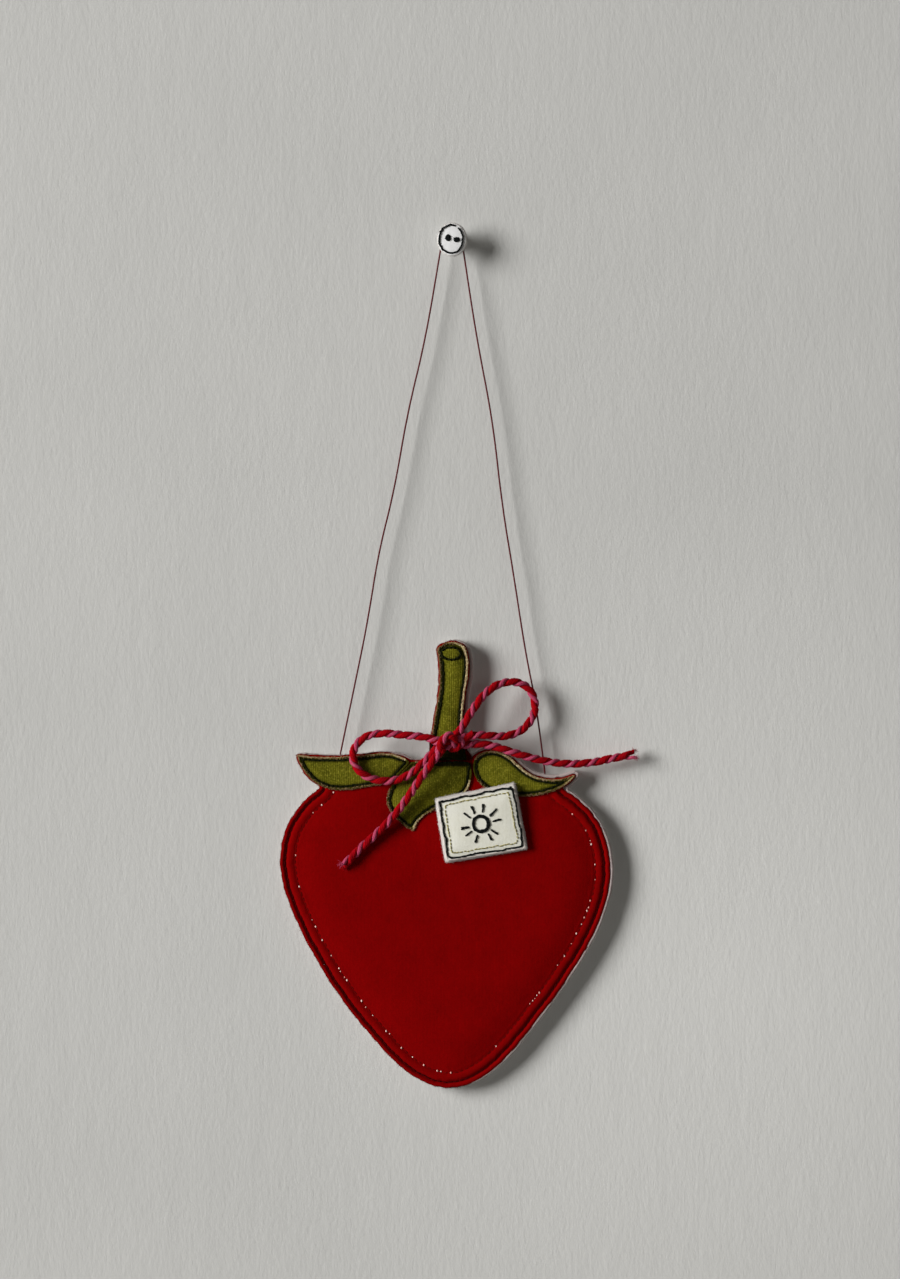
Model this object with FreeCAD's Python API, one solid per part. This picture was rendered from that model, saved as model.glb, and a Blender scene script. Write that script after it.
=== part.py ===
import FreeCAD, Part
import math
import os

# A padded fabric strawberry that hangs on a thread from a push pin with a button-shaped felt top.
# Millimetres. X runs to the viewer's right, Z up, and the wall's face is the plane Y = 0.
# The origin is where the pin's axis meets the wall, so everything on the room side has Y below 0.

# Thickness of each layer of the strawberry, from the wall outwards.
BACK_FELT = 1.2
WADDING = 3.0
FRONT_FABRIC = 0.6
PATCH = 0.6
STITCH = 0.3

# Where each layer starts.
WADDING_Y = -BACK_FELT
FABRIC_Y = WADDING_Y - WADDING
PATCH_Y = FABRIC_Y - FRONT_FABRIC
PATCH_STITCH_Y = PATCH_Y - PATCH

# How far one cut edge stands outside another.
RED_RIM = 0.5
FELT_SHIFT = FreeCAD.Vector(0.9, 0, 0.2)
FELT_RIM_AT_RIGHT_LEAF = 1.4
PATCH_GAP = 0.25

# An offset outline is refitted through this many points on each of its edges.
OFFSET_SAMPLES = 9

# Lines of stitches: inset from the cut edge, and width of the thread.
SEAM_INSET = 1.6
SEAM_WIDTH = 0.5
GOLD_INSET = 4.3
GOLD_LENGTH = 1.2
GOLD_PITCH = 1.7
GOLD_WIDTH = 0.3
LEAF_STITCH_INSET = 0.6
LEAF_STITCH_WIDTH = 0.6

# Outlines, as (X, Z). Each list is one smooth stretch, and stretches meet at corners.
BERRY = [
    [
        (0, -158), (-24, -159), (-39.5, -164.1), (-48.4, -173.4), (-51.5, -186.5), (-46.6, -203.7),
        (-36.7, -221.9), (-21.6, -241.3), (-10.4, -251.1), (-0.8, -253.9), (8.4, -251.0), (21.3, -238.7),
        (35.6, -219.4), (44.9, -201.7), (47.3, -186.0), (43.0, -173.2), (32.6, -164.0), (20, -159.5),
        (0, -158),
    ]
]
LEAF_LEFT = [
    [(-46.3, -154.1), (-37.7, -154.8), (-26.8, -154.3), (-17.8, -154.0), (-12.6, -156.2)],
    [(-12.6, -156.2), (-19.0, -162.3), (-25.0, -163.6), (-32.0, -164.6), (-38.2, -163.8), (-43.2, -160.2),
     (-46.3, -154.1)],
]
LEAF_CENTRE = [
    [(-12.0, -156.2), (-17.6, -162.6), (-19.5, -167.6), (-16.2, -173.6), (-11.4, -176.9)],
    [(-11.4, -176.9), (-9.2, -172.9), (-3.6, -169.6), (4.3, -164.9), (5.8, -160.4), (5.4, -156.2)],
    [(5.4, -156.2), (-12.0, -156.2)],
]
LEAF_RIGHT = [
    [(6.3, -156.8), (7.8, -154.2), (12.4, -153.0), (17.2, -154.9), (23.4, -160.0), (29.0, -161.5),
     (36.8, -160.1)],
    [(36.8, -160.1), (32.6, -163.9), (26.4, -165.9), (19.0, -166.5), (11.6, -165.2), (7.6, -161.6),
     (6.3, -156.8)],
]
STEM = [
    [(-4.4, -122.2), (-3.7, -128.2), (-3.7, -134.0), (-5.0, -143.1), (-6.0, -149.5), (-6.4, -155.6)],
    [(-6.4, -155.6), (4.6, -155.6)],
    [(4.6, -155.6), (3.2, -149.0), (3.1, -142.0), (4.0, -134.4), (4.8, -127.6), (3.6, -121.7)],
    [(3.6, -121.7), (-0.4, -120.4), (-4.4, -122.2)],
]
STEM_END_CENTRE = (-0.3, -123.8)
STEM_END_HALF = (2.9, 2.0)
STEM_END_STITCH_INSET = 0.5
STEM_END_STITCH_WIDTH = 0.5

# Tag: four hand-cut corners, clockwise from the top left one.
TAG_CORNERS = [(-5.2, -167.1), (18.9, -162.3), (22.7, -182.4), (-2.1, -186.5)]
TAG_Y = -6.0
TAG_FELT = 1.0
TAG_FABRIC = 1.0
TAG_FABRIC_INSET = 0.4
TAG_OUTLINE_INSET = 1.4
TAG_OUTLINE_WIDTH = 0.6
TAG_GOLD_INSET = 3.0
TAG_GOLD_WIDTH = 0.3
TAG_CENTRE = (8.6, -174.7)
TAG_TILT = 10.5
TAG_TACK_RADIUS = 0.3
TAG_TACK_SPOTS = [(6.0, -172.0), (12.0, -177.5)]

# Pin, with its axis on Y.
NEEDLE_RADIUS = 0.55
NEEDLE_SHAFT = 9.0
NEEDLE_POINT = 3.0
PIN_COLLAR_RADIUS = 3.6
PIN_WAIST_RADIUS = 2.6
PIN_COLLAR = 1.2
PIN_WAIST = 3.8
PIN_HEAD = 1.0
PIN_BLEND = 0.6
NEEDLE_IN_BODY = 3.0
NEEDLE_ROOT_RADIUS = 0.75

# Button-shaped top, an upright oval.
BUTTON_HALF = (4.45, 5.0)
BUTTON_FELT = 0.9
BUTTON_FABRIC = 0.5
BUTTON_FABRIC_INSET = 0.2
BUTTON_RING_INSET = 0.6
BUTTON_RING_WIDTH = 0.6
BUTTON_EYES = [((-1.2, 0.45), (0.9, 1.0)), ((1.65, -0.1), (0.9, 0.7))]

# Hanging thread: taut from the left end, over the pin's waist and down to the right end.
THREAD_RADIUS = 0.25
THREAD_Y = -3.0
THREAD_ON_WAIST = 0.05
THREAD_GAP = 0.06
THREAD_ANCHOR_DEPTH = 5.0
THREAD_KNOT_RADIUS = 0.7
THREAD_LEFT = [(-8.0, -30.0), (-13.3, -51.5), (-17.3, -75.0), (-22.0, -93.5), (-25.3, -114.5),
               (-29.4, -134.5), (-33.4, -153.6)]
THREAD_RIGHT = [(7.4, -29.5), (12.2, -54.0), (15.0, -79.5), (18.6, -101.0), (21.9, -123.0),
                (25.6, -141.0), (27.8, -159.4)]

# Bow of two-ply twine, tied at the foot of the stem. Routes are (X, Y, Z) of the twine's middle.
TWINE_RADIUS = 1.1
KNOT_CENTRE = (-0.8, -9.0, -150.1)
KNOT_RADIUS = 2.9
KNOT_STRAIGHT = 5.2
BOW_TACK_RADIUS = 0.5
LOOP_LEFT = [
    (-3.6, -8.8, -149.9), (-8.4, -8.5, -148.6), (-14.2, -8.0, -148.2), (-20.2, -7.7, -147.5),
    (-25.6, -7.5, -148.2), (-29.2, -7.4, -151.4), (-29.9, -7.4, -156.0), (-27.0, -7.4, -160.0),
    (-22.2, -7.4, -161.9), (-16.8, -7.5, -161.9), (-11.9, -7.8, -159.7), (-8.2, -8.2, -156.0),
    (-4.4, -8.8, -151.9),
]
LOOP_RIGHT = [
    (0.9, -9.4, -148.9), (3.9, -9.6, -144.4), (7.0, -9.0, -139.2), (10.8, -7.8, -134.6),
    (15.8, -6.4, -132.1), (21.2, -5.4, -132.5), (24.6, -5.0, -136.2), (25.0, -5.0, -141.4),
    (22.2, -5.6, -146.0), (17.4, -6.8, -148.5), (12.0, -8.2, -148.5), (6.8, -9.2, -147.8),
    (2.2, -9.6, -149.6),
]
TAIL_LEFT = [
    (-2.6, -10.6, -152.0), (-5.1, -11.2, -155.0), (-8.3, -11.0, -159.4), (-11.7, -9.2, -164.6),
    (-15.7, -7.8, -170.4), (-21.4, -7.3, -176.7), (-27.7, -7.2, -182.2), (-32.6, -7.3, -187.4),
]
TAIL_RIGHT = [
    (1.6, -8.2, -151.4), (6.6, -7.9, -150.6), (12.4, -7.7, -151.3), (19.2, -7.5, -153.7),
    (26.6, -7.4, -155.8), (34.4, -6.9, -157.0), (42.2, -5.6, -156.5), (49.2, -4.4, -154.9),
    (54.8, -3.8, -154.0),
]


def point(x, z, y=0.0):
    return FreeCAD.Vector(x, y, z)


def outline(stretches):
    """A closed wire in the wall's plane."""
    edges = []
    for stretch in stretches:
        ends = [point(*p) for p in stretch]
        closed = len(stretches) == 1
        if len(ends) == 2:
            edges.append(Part.LineSegment(ends[0], ends[1]).toShape())
            continue
        curve = Part.BSplineCurve()
        curve.interpolate(Points=ends[:-1] if closed else ends, PeriodicFlag=closed)
        edges.append(curve.toShape())
    return Part.Wire(edges)


def polygon(corners):
    ends = [point(*corner) for corner in corners]
    return Part.makePolygon(ends + ends[:1])


def oval(centre, half):
    """An ellipse in the wall's plane, half its width and half its height given."""
    long_axis, short_axis = max(half), min(half)
    toward = point(1, 0) if half[0] >= half[1] else point(0, 1)
    middle = point(*centre)
    across = FreeCAD.Vector(0, 1, 0).cross(toward)
    ellipse = Part.Ellipse(middle + toward * long_axis, middle + across * short_axis, middle)
    return Part.Wire(ellipse.toShape())


def slab(wire, start, thickness):
    """A flat layer of that outline, from Y = start outwards from the wall."""
    face = Part.Face(wire)
    face.translate(FreeCAD.Vector(0, start, 0))
    return face.extrude(FreeCAD.Vector(0, -thickness, 0))


def levelled(edge):
    """The same edge as one smooth curve that lies exactly in the wall's plane."""
    ends = [point(p.x, p.z) for p in edge.discretize(Number=OFFSET_SAMPLES)]
    curve = Part.BSplineCurve()
    curve.interpolate(Points=ends)
    return curve.toShape()


def grown(wire, distance):
    """The outline moved outwards by a distance, or inwards if it is negative."""
    moved = wire.makeOffset2D(distance, 0)
    return Part.Wire([levelled(edge) for edge in moved.OrderedEdges])


def stitch_line(wire, inset, width, start):
    """A line of thread that follows an outline, inset from it."""
    outside = slab(grown(wire, -inset), start, STITCH)
    inside = slab(grown(wire, -inset - width), start, STITCH)
    return outside.cut(inside)


def dashes(wire, length, width, pitch, start, avoid=None):
    """Separate stitches along a wire, leaving out those that another shape covers."""
    spots = wire.discretize(Distance=pitch)
    made = []
    for here, ahead in zip(spots, spots[1:]):
        along = (ahead - here).normalize()
        stitch = Part.makeBox(length, STITCH, width, FreeCAD.Vector(-length / 2, -STITCH, -width / 2))
        turn = FreeCAD.Rotation(FreeCAD.Vector(1, 0, 0), along)
        stitch.Placement = FreeCAD.Placement(here + FreeCAD.Vector(0, start, 0), turn)
        if avoid is None or avoid.distToShape(stitch)[0] > 0:
            made.append(stitch)
    return Part.makeCompound(made)


def rounded_path(name, points):
    """Straight runs joined by tangent arcs, each as large as its two runs allow."""
    edges = []
    radii = []
    start = points[0]
    for before, corner, after in zip(points, points[1:], points[2:]):
        coming = corner - before
        going = after - corner
        half_turn = coming.getAngle(going) / 2
        reach = 0.45 * min(coming.Length, going.Length)
        radius = reach / math.tan(half_turn)
        coming.normalize()
        going.normalize()
        first = corner - coming * reach
        last = corner + going * reach
        inward = (going - coming).normalize()
        middle = corner + inward * (radius / math.cos(half_turn) - radius)
        edges.append(Part.LineSegment(start, first).toShape())
        edges.append(Part.Arc(first, middle, last).toShape())
        radii.append(round(radius, 1))
        start = last
    edges.append(Part.LineSegment(start, points[-1]).toShape())
    path = Part.Wire(edges)
    print(name, "length", round(path.Length, 1), "arc radii", radii)
    return path


def tube(name, path, radius):
    """A round cord along a path."""
    begin = path.Edges[0].firstVertex().Point
    along = path.Edges[0].tangentAt(path.Edges[0].FirstParameter)
    ring = Part.Wire(Part.makeCircle(radius, begin, along))
    cord = path.makePipeShell([ring], True, True)
    expected = math.pi * radius ** 2 * path.Length
    print(name, "volume over section times length", round(cord.Volume / expected, 4))
    return cord


def rod(radius, start, end):
    """A cylinder between two points."""
    return Part.makeCylinder(radius, (end - start).Length, start, end - start)


def turned(profile):
    """A solid turned about the Y axis from (Y, radius) points."""
    ends = [FreeCAD.Vector(r, y, 0) for y, r in profile]
    face = Part.Face(Part.makePolygon(ends + ends[:1]))
    return face.revolve(FreeCAD.Vector(0, 0, 0), FreeCAD.Vector(0, 1, 0), 360)


def silhouettes():
    """The outlines that the quilted layers are cut to, before they are joined."""
    patches = [outline(LEAF_LEFT), outline(LEAF_CENTRE), outline(LEAF_RIGHT), outline(STEM)]
    return [outline(BERRY)] + [grown(wire, RED_RIM) for wire in patches]


def quilted(wires, start, thickness):
    layers = [slab(wire, start, thickness) for wire in wires]
    return layers[0].multiFuse(layers[1:]).removeSplitter().Solids[0]


def strawberry_layers():
    wires = silhouettes()
    felt_wires = [wire.copy() for wire in wires]
    for wire in felt_wires:
        wire.translate(FELT_SHIFT)
    felt_wires.append(grown(outline(LEAF_RIGHT), FELT_RIM_AT_RIGHT_LEAF))
    return {
        "back_felt": quilted(felt_wires, 0, BACK_FELT),
        "wadding": quilted(felt_wires, WADDING_Y, WADDING),
        "front_fabric": quilted(wires, FABRIC_Y, FRONT_FABRIC),
    }


def leaf_parts():
    centre = slab(outline(LEAF_CENTRE), PATCH_Y, PATCH)
    kept_clear = slab(grown(outline(LEAF_CENTRE), PATCH_GAP), PATCH_Y, PATCH + STITCH)
    parts = {"leaf_centre": centre}
    for name, stretches in (("leaf_left", LEAF_LEFT), ("leaf_right", LEAF_RIGHT), ("stem_patch", STEM)):
        parts[name] = slab(outline(stretches), PATCH_Y, PATCH).cut(kept_clear)
    stitched = (("leaf_centre", LEAF_CENTRE), ("leaf_left", LEAF_LEFT), ("leaf_right", LEAF_RIGHT),
                ("stem", STEM))
    for name, stretches in stitched:
        line = stitch_line(outline(stretches), LEAF_STITCH_INSET, LEAF_STITCH_WIDTH, PATCH_STITCH_Y)
        parts[name + "_stitch"] = line if name == "leaf_centre" else line.cut(kept_clear)
    stem_end = slab(oval(STEM_END_CENTRE, STEM_END_HALF), PATCH_STITCH_Y, PATCH)
    parts["stem_stitch"] = parts["stem_stitch"].cut(stem_end)
    return parts


def stem_end_parts():
    """The oval scrap on top of the stem, and the thread round it, laid over the stem's own stitching."""
    whole = oval(STEM_END_CENTRE, STEM_END_HALF)
    line = stitch_line(whole, STEM_END_STITCH_INSET, STEM_END_STITCH_WIDTH, PATCH_STITCH_Y - PATCH)
    return {"stem_end_patch": slab(whole, PATCH_STITCH_Y, PATCH), "stem_end_stitch": line}


def berry_stitches(covered):
    berry = outline(BERRY)
    seam = stitch_line(berry, SEAM_INSET, SEAM_WIDTH, PATCH_Y).cut(covered)
    gold = dashes(grown(berry, -GOLD_INSET), GOLD_LENGTH, GOLD_WIDTH, GOLD_PITCH, PATCH_Y, covered)
    return {"seam_stitch": seam, "gold_stitches": gold}


def tag_parts():
    edge = polygon(TAG_CORNERS)
    fabric_y = TAG_Y - TAG_FELT
    stitch_y = fabric_y - TAG_FABRIC
    tacks = [rod(TAG_TACK_RADIUS, point(x, z, PATCH_Y), point(x, z, TAG_Y)) for x, z in TAG_TACK_SPOTS]
    return {
        "tag_felt": slab(edge, TAG_Y, TAG_FELT),
        "tag_fabric": slab(grown(edge, -TAG_FABRIC_INSET), fabric_y, TAG_FABRIC),
        "tag_outline_stitch": stitch_line(edge, TAG_OUTLINE_INSET, TAG_OUTLINE_WIDTH, stitch_y),
        "tag_gold_stitches": dashes(grown(edge, -TAG_GOLD_INSET), GOLD_LENGTH, TAG_GOLD_WIDTH, GOLD_PITCH,
                                    stitch_y),
        "tag_motif_stitch": tag_motif(stitch_y),
        "tag_tack_stitches": Part.makeCompound(tacks),
    }


def tag_motif(start):
    """A plain stitched sun: a ring with short rays."""
    ring_radius = 2.6
    ray_inner = 3.8
    ray_outer = 5.8
    thread = 0.5
    rays = 10
    wires = [oval(TAG_CENTRE, (ring_radius, ring_radius)), oval(TAG_CENTRE, (ring_radius - thread,) * 2)]
    made = [slab(wires[0], start, STITCH).cut(slab(wires[1], start, STITCH))]
    middle = point(*TAG_CENTRE)
    for number in range(rays):
        angle = TAG_TILT + number * 360.0 / rays
        ray = Part.makeBox(ray_outer - ray_inner, STITCH, thread,
                           FreeCAD.Vector(ray_inner, start - STITCH, -thread / 2))
        ray.rotate(FreeCAD.Vector(0, 0, 0), FreeCAD.Vector(0, 1, 0), angle)
        ray.translate(middle)
        made.append(ray)
    return Part.makeCompound(made)


def pin_parts():
    waist_end = -PIN_COLLAR - PIN_WAIST
    head_end = waist_end - PIN_HEAD
    body = turned([
        (0, NEEDLE_ROOT_RADIUS), (0, PIN_COLLAR_RADIUS), (-PIN_COLLAR + PIN_BLEND, PIN_COLLAR_RADIUS),
        (-PIN_COLLAR, PIN_WAIST_RADIUS), (waist_end, PIN_WAIST_RADIUS),
        (waist_end - PIN_BLEND, PIN_COLLAR_RADIUS), (head_end, PIN_COLLAR_RADIUS), (head_end, 0),
        (-NEEDLE_IN_BODY, 0), (-NEEDLE_IN_BODY, NEEDLE_ROOT_RADIUS),
    ])
    needle = turned([
        (-NEEDLE_IN_BODY, 0), (-NEEDLE_IN_BODY, NEEDLE_ROOT_RADIUS), (0, NEEDLE_ROOT_RADIUS),
        (0, NEEDLE_RADIUS), (NEEDLE_SHAFT, NEEDLE_RADIUS), (NEEDLE_SHAFT + NEEDLE_POINT, 0),
    ])
    rim = oval((0, 0), BUTTON_HALF)
    fabric_y = head_end - BUTTON_FELT
    stitch_y = fabric_y - BUTTON_FABRIC
    eyes = [slab(oval(centre, half), stitch_y, STITCH) for centre, half in BUTTON_EYES]
    return {
        "pin_needle": needle,
        "pin_body": body,
        "button_felt": slab(rim, head_end, BUTTON_FELT),
        "button_fabric": slab(grown(rim, -BUTTON_FABRIC_INSET), fabric_y, BUTTON_FABRIC),
        "button_ring_stitch": stitch_line(rim, BUTTON_RING_INSET, BUTTON_RING_WIDTH, stitch_y),
        "button_eye_stitches": Part.makeCompound(eyes),
    }


def leaving_point(toward, radius):
    """Where a taut thread from a point below leaves a circle round the pin's axis, on that point's side."""
    distance = math.hypot(*toward)
    bearing = math.atan2(toward[1], toward[0])
    swing = math.acos(radius / distance)
    angle = bearing - swing if toward[0] < 0 else bearing + swing
    return (radius * math.cos(angle), radius * math.sin(angle))


def thread_parts():
    wrap = PIN_WAIST_RADIUS + THREAD_ON_WAIST + THREAD_RADIUS
    left = leaving_point(THREAD_LEFT[0], wrap)
    right = leaving_point(THREAD_RIGHT[0], wrap)
    arc = Part.Arc(point(*left, THREAD_Y), point(0, wrap, THREAD_Y), point(*right, THREAD_Y)).toShape()
    parts = {"thread_over_pin": tube("thread_over_pin", Part.Wire(arc), THREAD_RADIUS)}
    print("thread leaves the waist at", left, right)
    anchors = []
    for side, start, rest in (("left", left, THREAD_LEFT), ("right", right, THREAD_RIGHT)):
        name = "thread_strand_" + side
        route = [point(x, z, THREAD_Y) for x, z in [start] + rest]
        route[0] += (route[1] - route[0]).normalize() * THREAD_GAP
        hinge = route[-1]
        route[-1] = hinge + (route[-2] - hinge).normalize() * (THREAD_RADIUS + THREAD_GAP)
        parts[name] = tube(name, rounded_path(name, route), THREAD_RADIUS)
        low = hinge - FreeCAD.Vector(0, 0, THREAD_ANCHOR_DEPTH)
        anchors.append(rod(THREAD_RADIUS, hinge, low).fuse(Part.makeSphere(THREAD_KNOT_RADIUS, low)))
    parts["thread_anchors"] = Part.makeCompound([anchor.Solids[0] for anchor in anchors])
    return parts


def bow_parts():
    middle = FreeCAD.Vector(*KNOT_CENTRE)
    half = FreeCAD.Vector(KNOT_STRAIGHT / 2, 0, 0)
    ends = [Part.makeSphere(KNOT_RADIUS, middle - half), Part.makeSphere(KNOT_RADIUS, middle + half)]
    knot = rod(KNOT_RADIUS, middle - half, middle + half).multiFuse(ends).removeSplitter().Solids[0]
    parts = {"bow_knot": knot}
    back = FreeCAD.Vector(middle.x, PATCH_STITCH_Y, middle.z)
    parts["bow_tack_stitch"] = rod(BOW_TACK_RADIUS, back, middle + FreeCAD.Vector(0, KNOT_RADIUS / 2, 0))
    routes = (("bow_loop_left", LOOP_LEFT), ("bow_loop_right", LOOP_RIGHT), ("bow_tail_left", TAIL_LEFT),
              ("bow_tail_right", TAIL_RIGHT))
    for name, route in routes:
        path = rounded_path(name, [FreeCAD.Vector(*p) for p in route])
        parts[name] = tube(name, path, TWINE_RADIUS)
    return parts


def all_parts():
    parts = strawberry_layers()
    leaves = leaf_parts()
    covered = leaves["leaf_centre"].multiFuse([leaves["leaf_left"], leaves["leaf_right"]])
    parts.update(leaves)
    parts.update(stem_end_parts())
    parts.update(berry_stitches(covered))
    parts.update(tag_parts())
    parts.update(pin_parts())
    parts.update(thread_parts())
    parts.update(bow_parts())
    return parts


os.makedirs("parts", exist_ok=True)
for name, shape in all_parts().items():
    if not shape.isValid() or not shape.Solids:
        print("BAD SHAPE", name, shape.ShapeType, shape.isValid(), len(shape.Solids))
    shape.exportStep(os.path.join("parts", name + ".step"))
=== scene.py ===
# A padded fabric strawberry on a thread, hung from a push pin that carries a felt button.
# Metres, in the part's own frame: X to the viewer's right, Z up, and the wall's face at Y = 0.
import math

import bpy
import numpy as np
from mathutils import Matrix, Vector, geometry
from mathutils.bvhtree import BVHTree


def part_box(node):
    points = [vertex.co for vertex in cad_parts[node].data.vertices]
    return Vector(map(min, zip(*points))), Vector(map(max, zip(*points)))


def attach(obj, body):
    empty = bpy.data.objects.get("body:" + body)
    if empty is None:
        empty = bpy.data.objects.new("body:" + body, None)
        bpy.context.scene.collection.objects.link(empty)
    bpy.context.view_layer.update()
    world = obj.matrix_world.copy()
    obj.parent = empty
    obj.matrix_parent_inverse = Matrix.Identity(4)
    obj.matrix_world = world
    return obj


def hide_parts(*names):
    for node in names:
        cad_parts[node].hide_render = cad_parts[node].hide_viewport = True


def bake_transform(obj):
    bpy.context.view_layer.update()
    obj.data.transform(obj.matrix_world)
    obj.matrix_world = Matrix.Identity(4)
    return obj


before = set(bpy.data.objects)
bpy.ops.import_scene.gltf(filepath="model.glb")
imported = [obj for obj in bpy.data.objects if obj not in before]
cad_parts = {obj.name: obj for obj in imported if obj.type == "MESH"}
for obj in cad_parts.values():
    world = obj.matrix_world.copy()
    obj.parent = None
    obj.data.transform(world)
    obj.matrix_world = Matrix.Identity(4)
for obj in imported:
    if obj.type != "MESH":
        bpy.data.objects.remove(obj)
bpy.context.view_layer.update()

MM = 0.001

# Cord routes, in the order of their control points.
THREAD_ROUTE = [
    (-0.0334, -0.0030, -0.1536), (-0.0294, -0.0030, -0.1345), (-0.0253, -0.0030, -0.1145),
    (-0.0220, -0.0030, -0.0935), (-0.0173, -0.0030, -0.0750), (-0.0133, -0.0030, -0.0515),
    (-0.0080, -0.0030, -0.0300), (-0.00336, -0.0030, -0.00248), (-0.00262, -0.0030, 0.00194),
    (0.00003, -0.0030, 0.00325), (0.00265, -0.0030, 0.00189), (0.00332, -0.0030, -0.00253),
    (0.0074, -0.0030, -0.0295), (0.0122, -0.0030, -0.0540), (0.0150, -0.0030, -0.0795),
    (0.0186, -0.0030, -0.1010), (0.0219, -0.0030, -0.1230), (0.0256, -0.0030, -0.1410),
    (0.0278, -0.0030, -0.1594),
]
LOOP_LEFT = [
    (-0.0036, -0.0088, -0.1499), (-0.0084, -0.0085, -0.1486), (-0.0142, -0.0080, -0.1482),
    (-0.0202, -0.0077, -0.1475), (-0.0256, -0.0075, -0.1482), (-0.0292, -0.0074, -0.1514),
    (-0.0299, -0.0074, -0.1560), (-0.0270, -0.0074, -0.1600), (-0.0222, -0.0074, -0.1619),
    (-0.0168, -0.0075, -0.1619), (-0.0119, -0.0078, -0.1597), (-0.0082, -0.0082, -0.1560),
    (-0.0044, -0.0088, -0.1519),
]
LOOP_RIGHT = [
    (0.0009, -0.0094, -0.1489), (0.0039, -0.0096, -0.1444), (0.0070, -0.0090, -0.1392),
    (0.0108, -0.0078, -0.1346), (0.0158, -0.0064, -0.1321), (0.0212, -0.0054, -0.1325),
    (0.0246, -0.0050, -0.1362), (0.0250, -0.0050, -0.1414), (0.0222, -0.0056, -0.1460),
    (0.0174, -0.0068, -0.1485), (0.0120, -0.0082, -0.1485), (0.0068, -0.0092, -0.1478),
    (0.0022, -0.0096, -0.1496),
]
TAIL_LEFT = [
    (-0.0026, -0.0106, -0.1520), (-0.0051, -0.0112, -0.1550), (-0.0083, -0.0110, -0.1594),
    (-0.0117, -0.0092, -0.1646), (-0.0157, -0.0078, -0.1704), (-0.0214, -0.0073, -0.1767),
    (-0.0277, -0.0072, -0.1822), (-0.0326, -0.0073, -0.1874),
]
TAIL_RIGHT = [
    (0.0016, -0.0082, -0.1514), (0.0066, -0.0079, -0.1506), (0.0124, -0.0076, -0.1513),
    (0.0192, -0.0072, -0.1537), (0.0266, -0.0060, -0.1558), (0.0344, -0.0048, -0.1570),
    (0.0422, -0.0040, -0.1565), (0.0492, -0.0036, -0.1549), (0.0548, -0.0034, -0.1540),
]
KNOT_ROUTES = [
    [(-0.0058, -0.0084, -0.1500), (-0.0034, -0.0094, -0.1502), (-0.0010, -0.0098, -0.1502),
     (0.0014, -0.0098, -0.1497), (0.0040, -0.0095, -0.1487), (0.0064, -0.0092, -0.1478)],
    [(-0.0046, -0.0086, -0.1519), (-0.0018, -0.0094, -0.1514), (0.0010, -0.0093, -0.1511),
     (0.0036, -0.0086, -0.1511), (0.0060, -0.0080, -0.1507)],
    [(-0.0040, -0.0104, -0.1534), (-0.0036, -0.0114, -0.1513), (-0.0027, -0.0122, -0.1493),
     (-0.0013, -0.0125, -0.1481), (0.0002, -0.0121, -0.1484), (0.0008, -0.0111, -0.1497),
     (0.0006, -0.0099, -0.1510), (0.0000, -0.0086, -0.1520)],
    [(0.0006, -0.0084, -0.1478), (0.0021, -0.0096, -0.1486), (0.0028, -0.0100, -0.1499),
     (0.0024, -0.0097, -0.1513), (0.0010, -0.0090, -0.1522), (-0.0008, -0.0084, -0.1522)],
]
KNOT_PHASES = (0.9, 2.6, 4.0, 0.6)
ROUTE_STEPS = 24

# Hanging thread.
THREAD_RADIUS = 0.25 * MM

# Twine of the bow: two plies laid round each other.
TWINE_PITCH = 6.2 * MM
TWINE_STEP = 0.3 * MM
RED_PLY_SIZE = (0.36 * MM, 0.84 * MM, 1.02 * MM)      # out from the middle, half thickness, half width
PINK_PLY_SIZE = (0.66 * MM, 0.58 * MM, 0.74 * MM)
PLY_SIDES = 20
YARNS_IN_PLY = 5
YARN_RELIEF = 0.07
YARN_PITCH = 3.4 * MM
SPLAY_LENGTH = 3.4 * MM
SPLAY_OFFSET = 1.15 * MM
SPLAY_HAIRS = 26
LOOSE_HAIR_STEP = 0.35 * MM

# The fabric layers: depths in from the cut edge, heights off it, and how far each patch puffs up.
SEAM_DEPTH = 1.65 * MM
GOLD_DEPTH = 4.45 * MM
FABRIC_THICK = 0.5 * MM
EDGE_BACK = 0.22 * MM
FELT_BACK = -0.05 * MM
SEAM_BACK = 0.85 * MM
GOLD_BACK = 0.3 * MM
BERRY_LIFT = 1.15 * MM
LEAF_INSET = 0.95 * MM
LEAF_LIFT = 1.15 * MM
STEM_END_INSET = 0.1 * MM
STEM_END_LIFT = 0.25 * MM
TAG_INSET = 0.85 * MM
TAG_GOLD_DEPTH = 2.15 * MM
BUTTON_INSET = 0.58 * MM
TAG_LIFT = 0.5 * MM
BUTTON_LIFT = 0.35 * MM

# Where the red shows between the stem's foot and the right leaf.
NOTCH = (5.3 * MM, -154.6 * MM)

# Depths in mm from the edge of the front and of the wadding, at which their nets have lines of points.
QUILT_NET = (0.4, 0.8, 1.2, 1.65, 2.1, 2.6, 3.2, 3.85, 4.45, 5.0, 5.7)
WADDING_NET = (0.4, 0.8, 1.2, 1.65, 2.3, 3.2, 4.4)

# Stitches: where along its length each is measured, how high it stands there in radii, and how thick it is.
STITCH_SHARES = (0, 0.08, 0.25, 0.5, 0.75, 0.92, 1)
STITCH_RISES = (-0.8, 0.2, 0.75, 0.95, 0.75, 0.2, -0.8)
STITCH_SIZES = np.array([0.7, 0.95, 1, 1, 1, 0.95, 0.7])
STITCH_SIDES = 7
FABRIC_RELIEF = 0.0175 * MM

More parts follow.
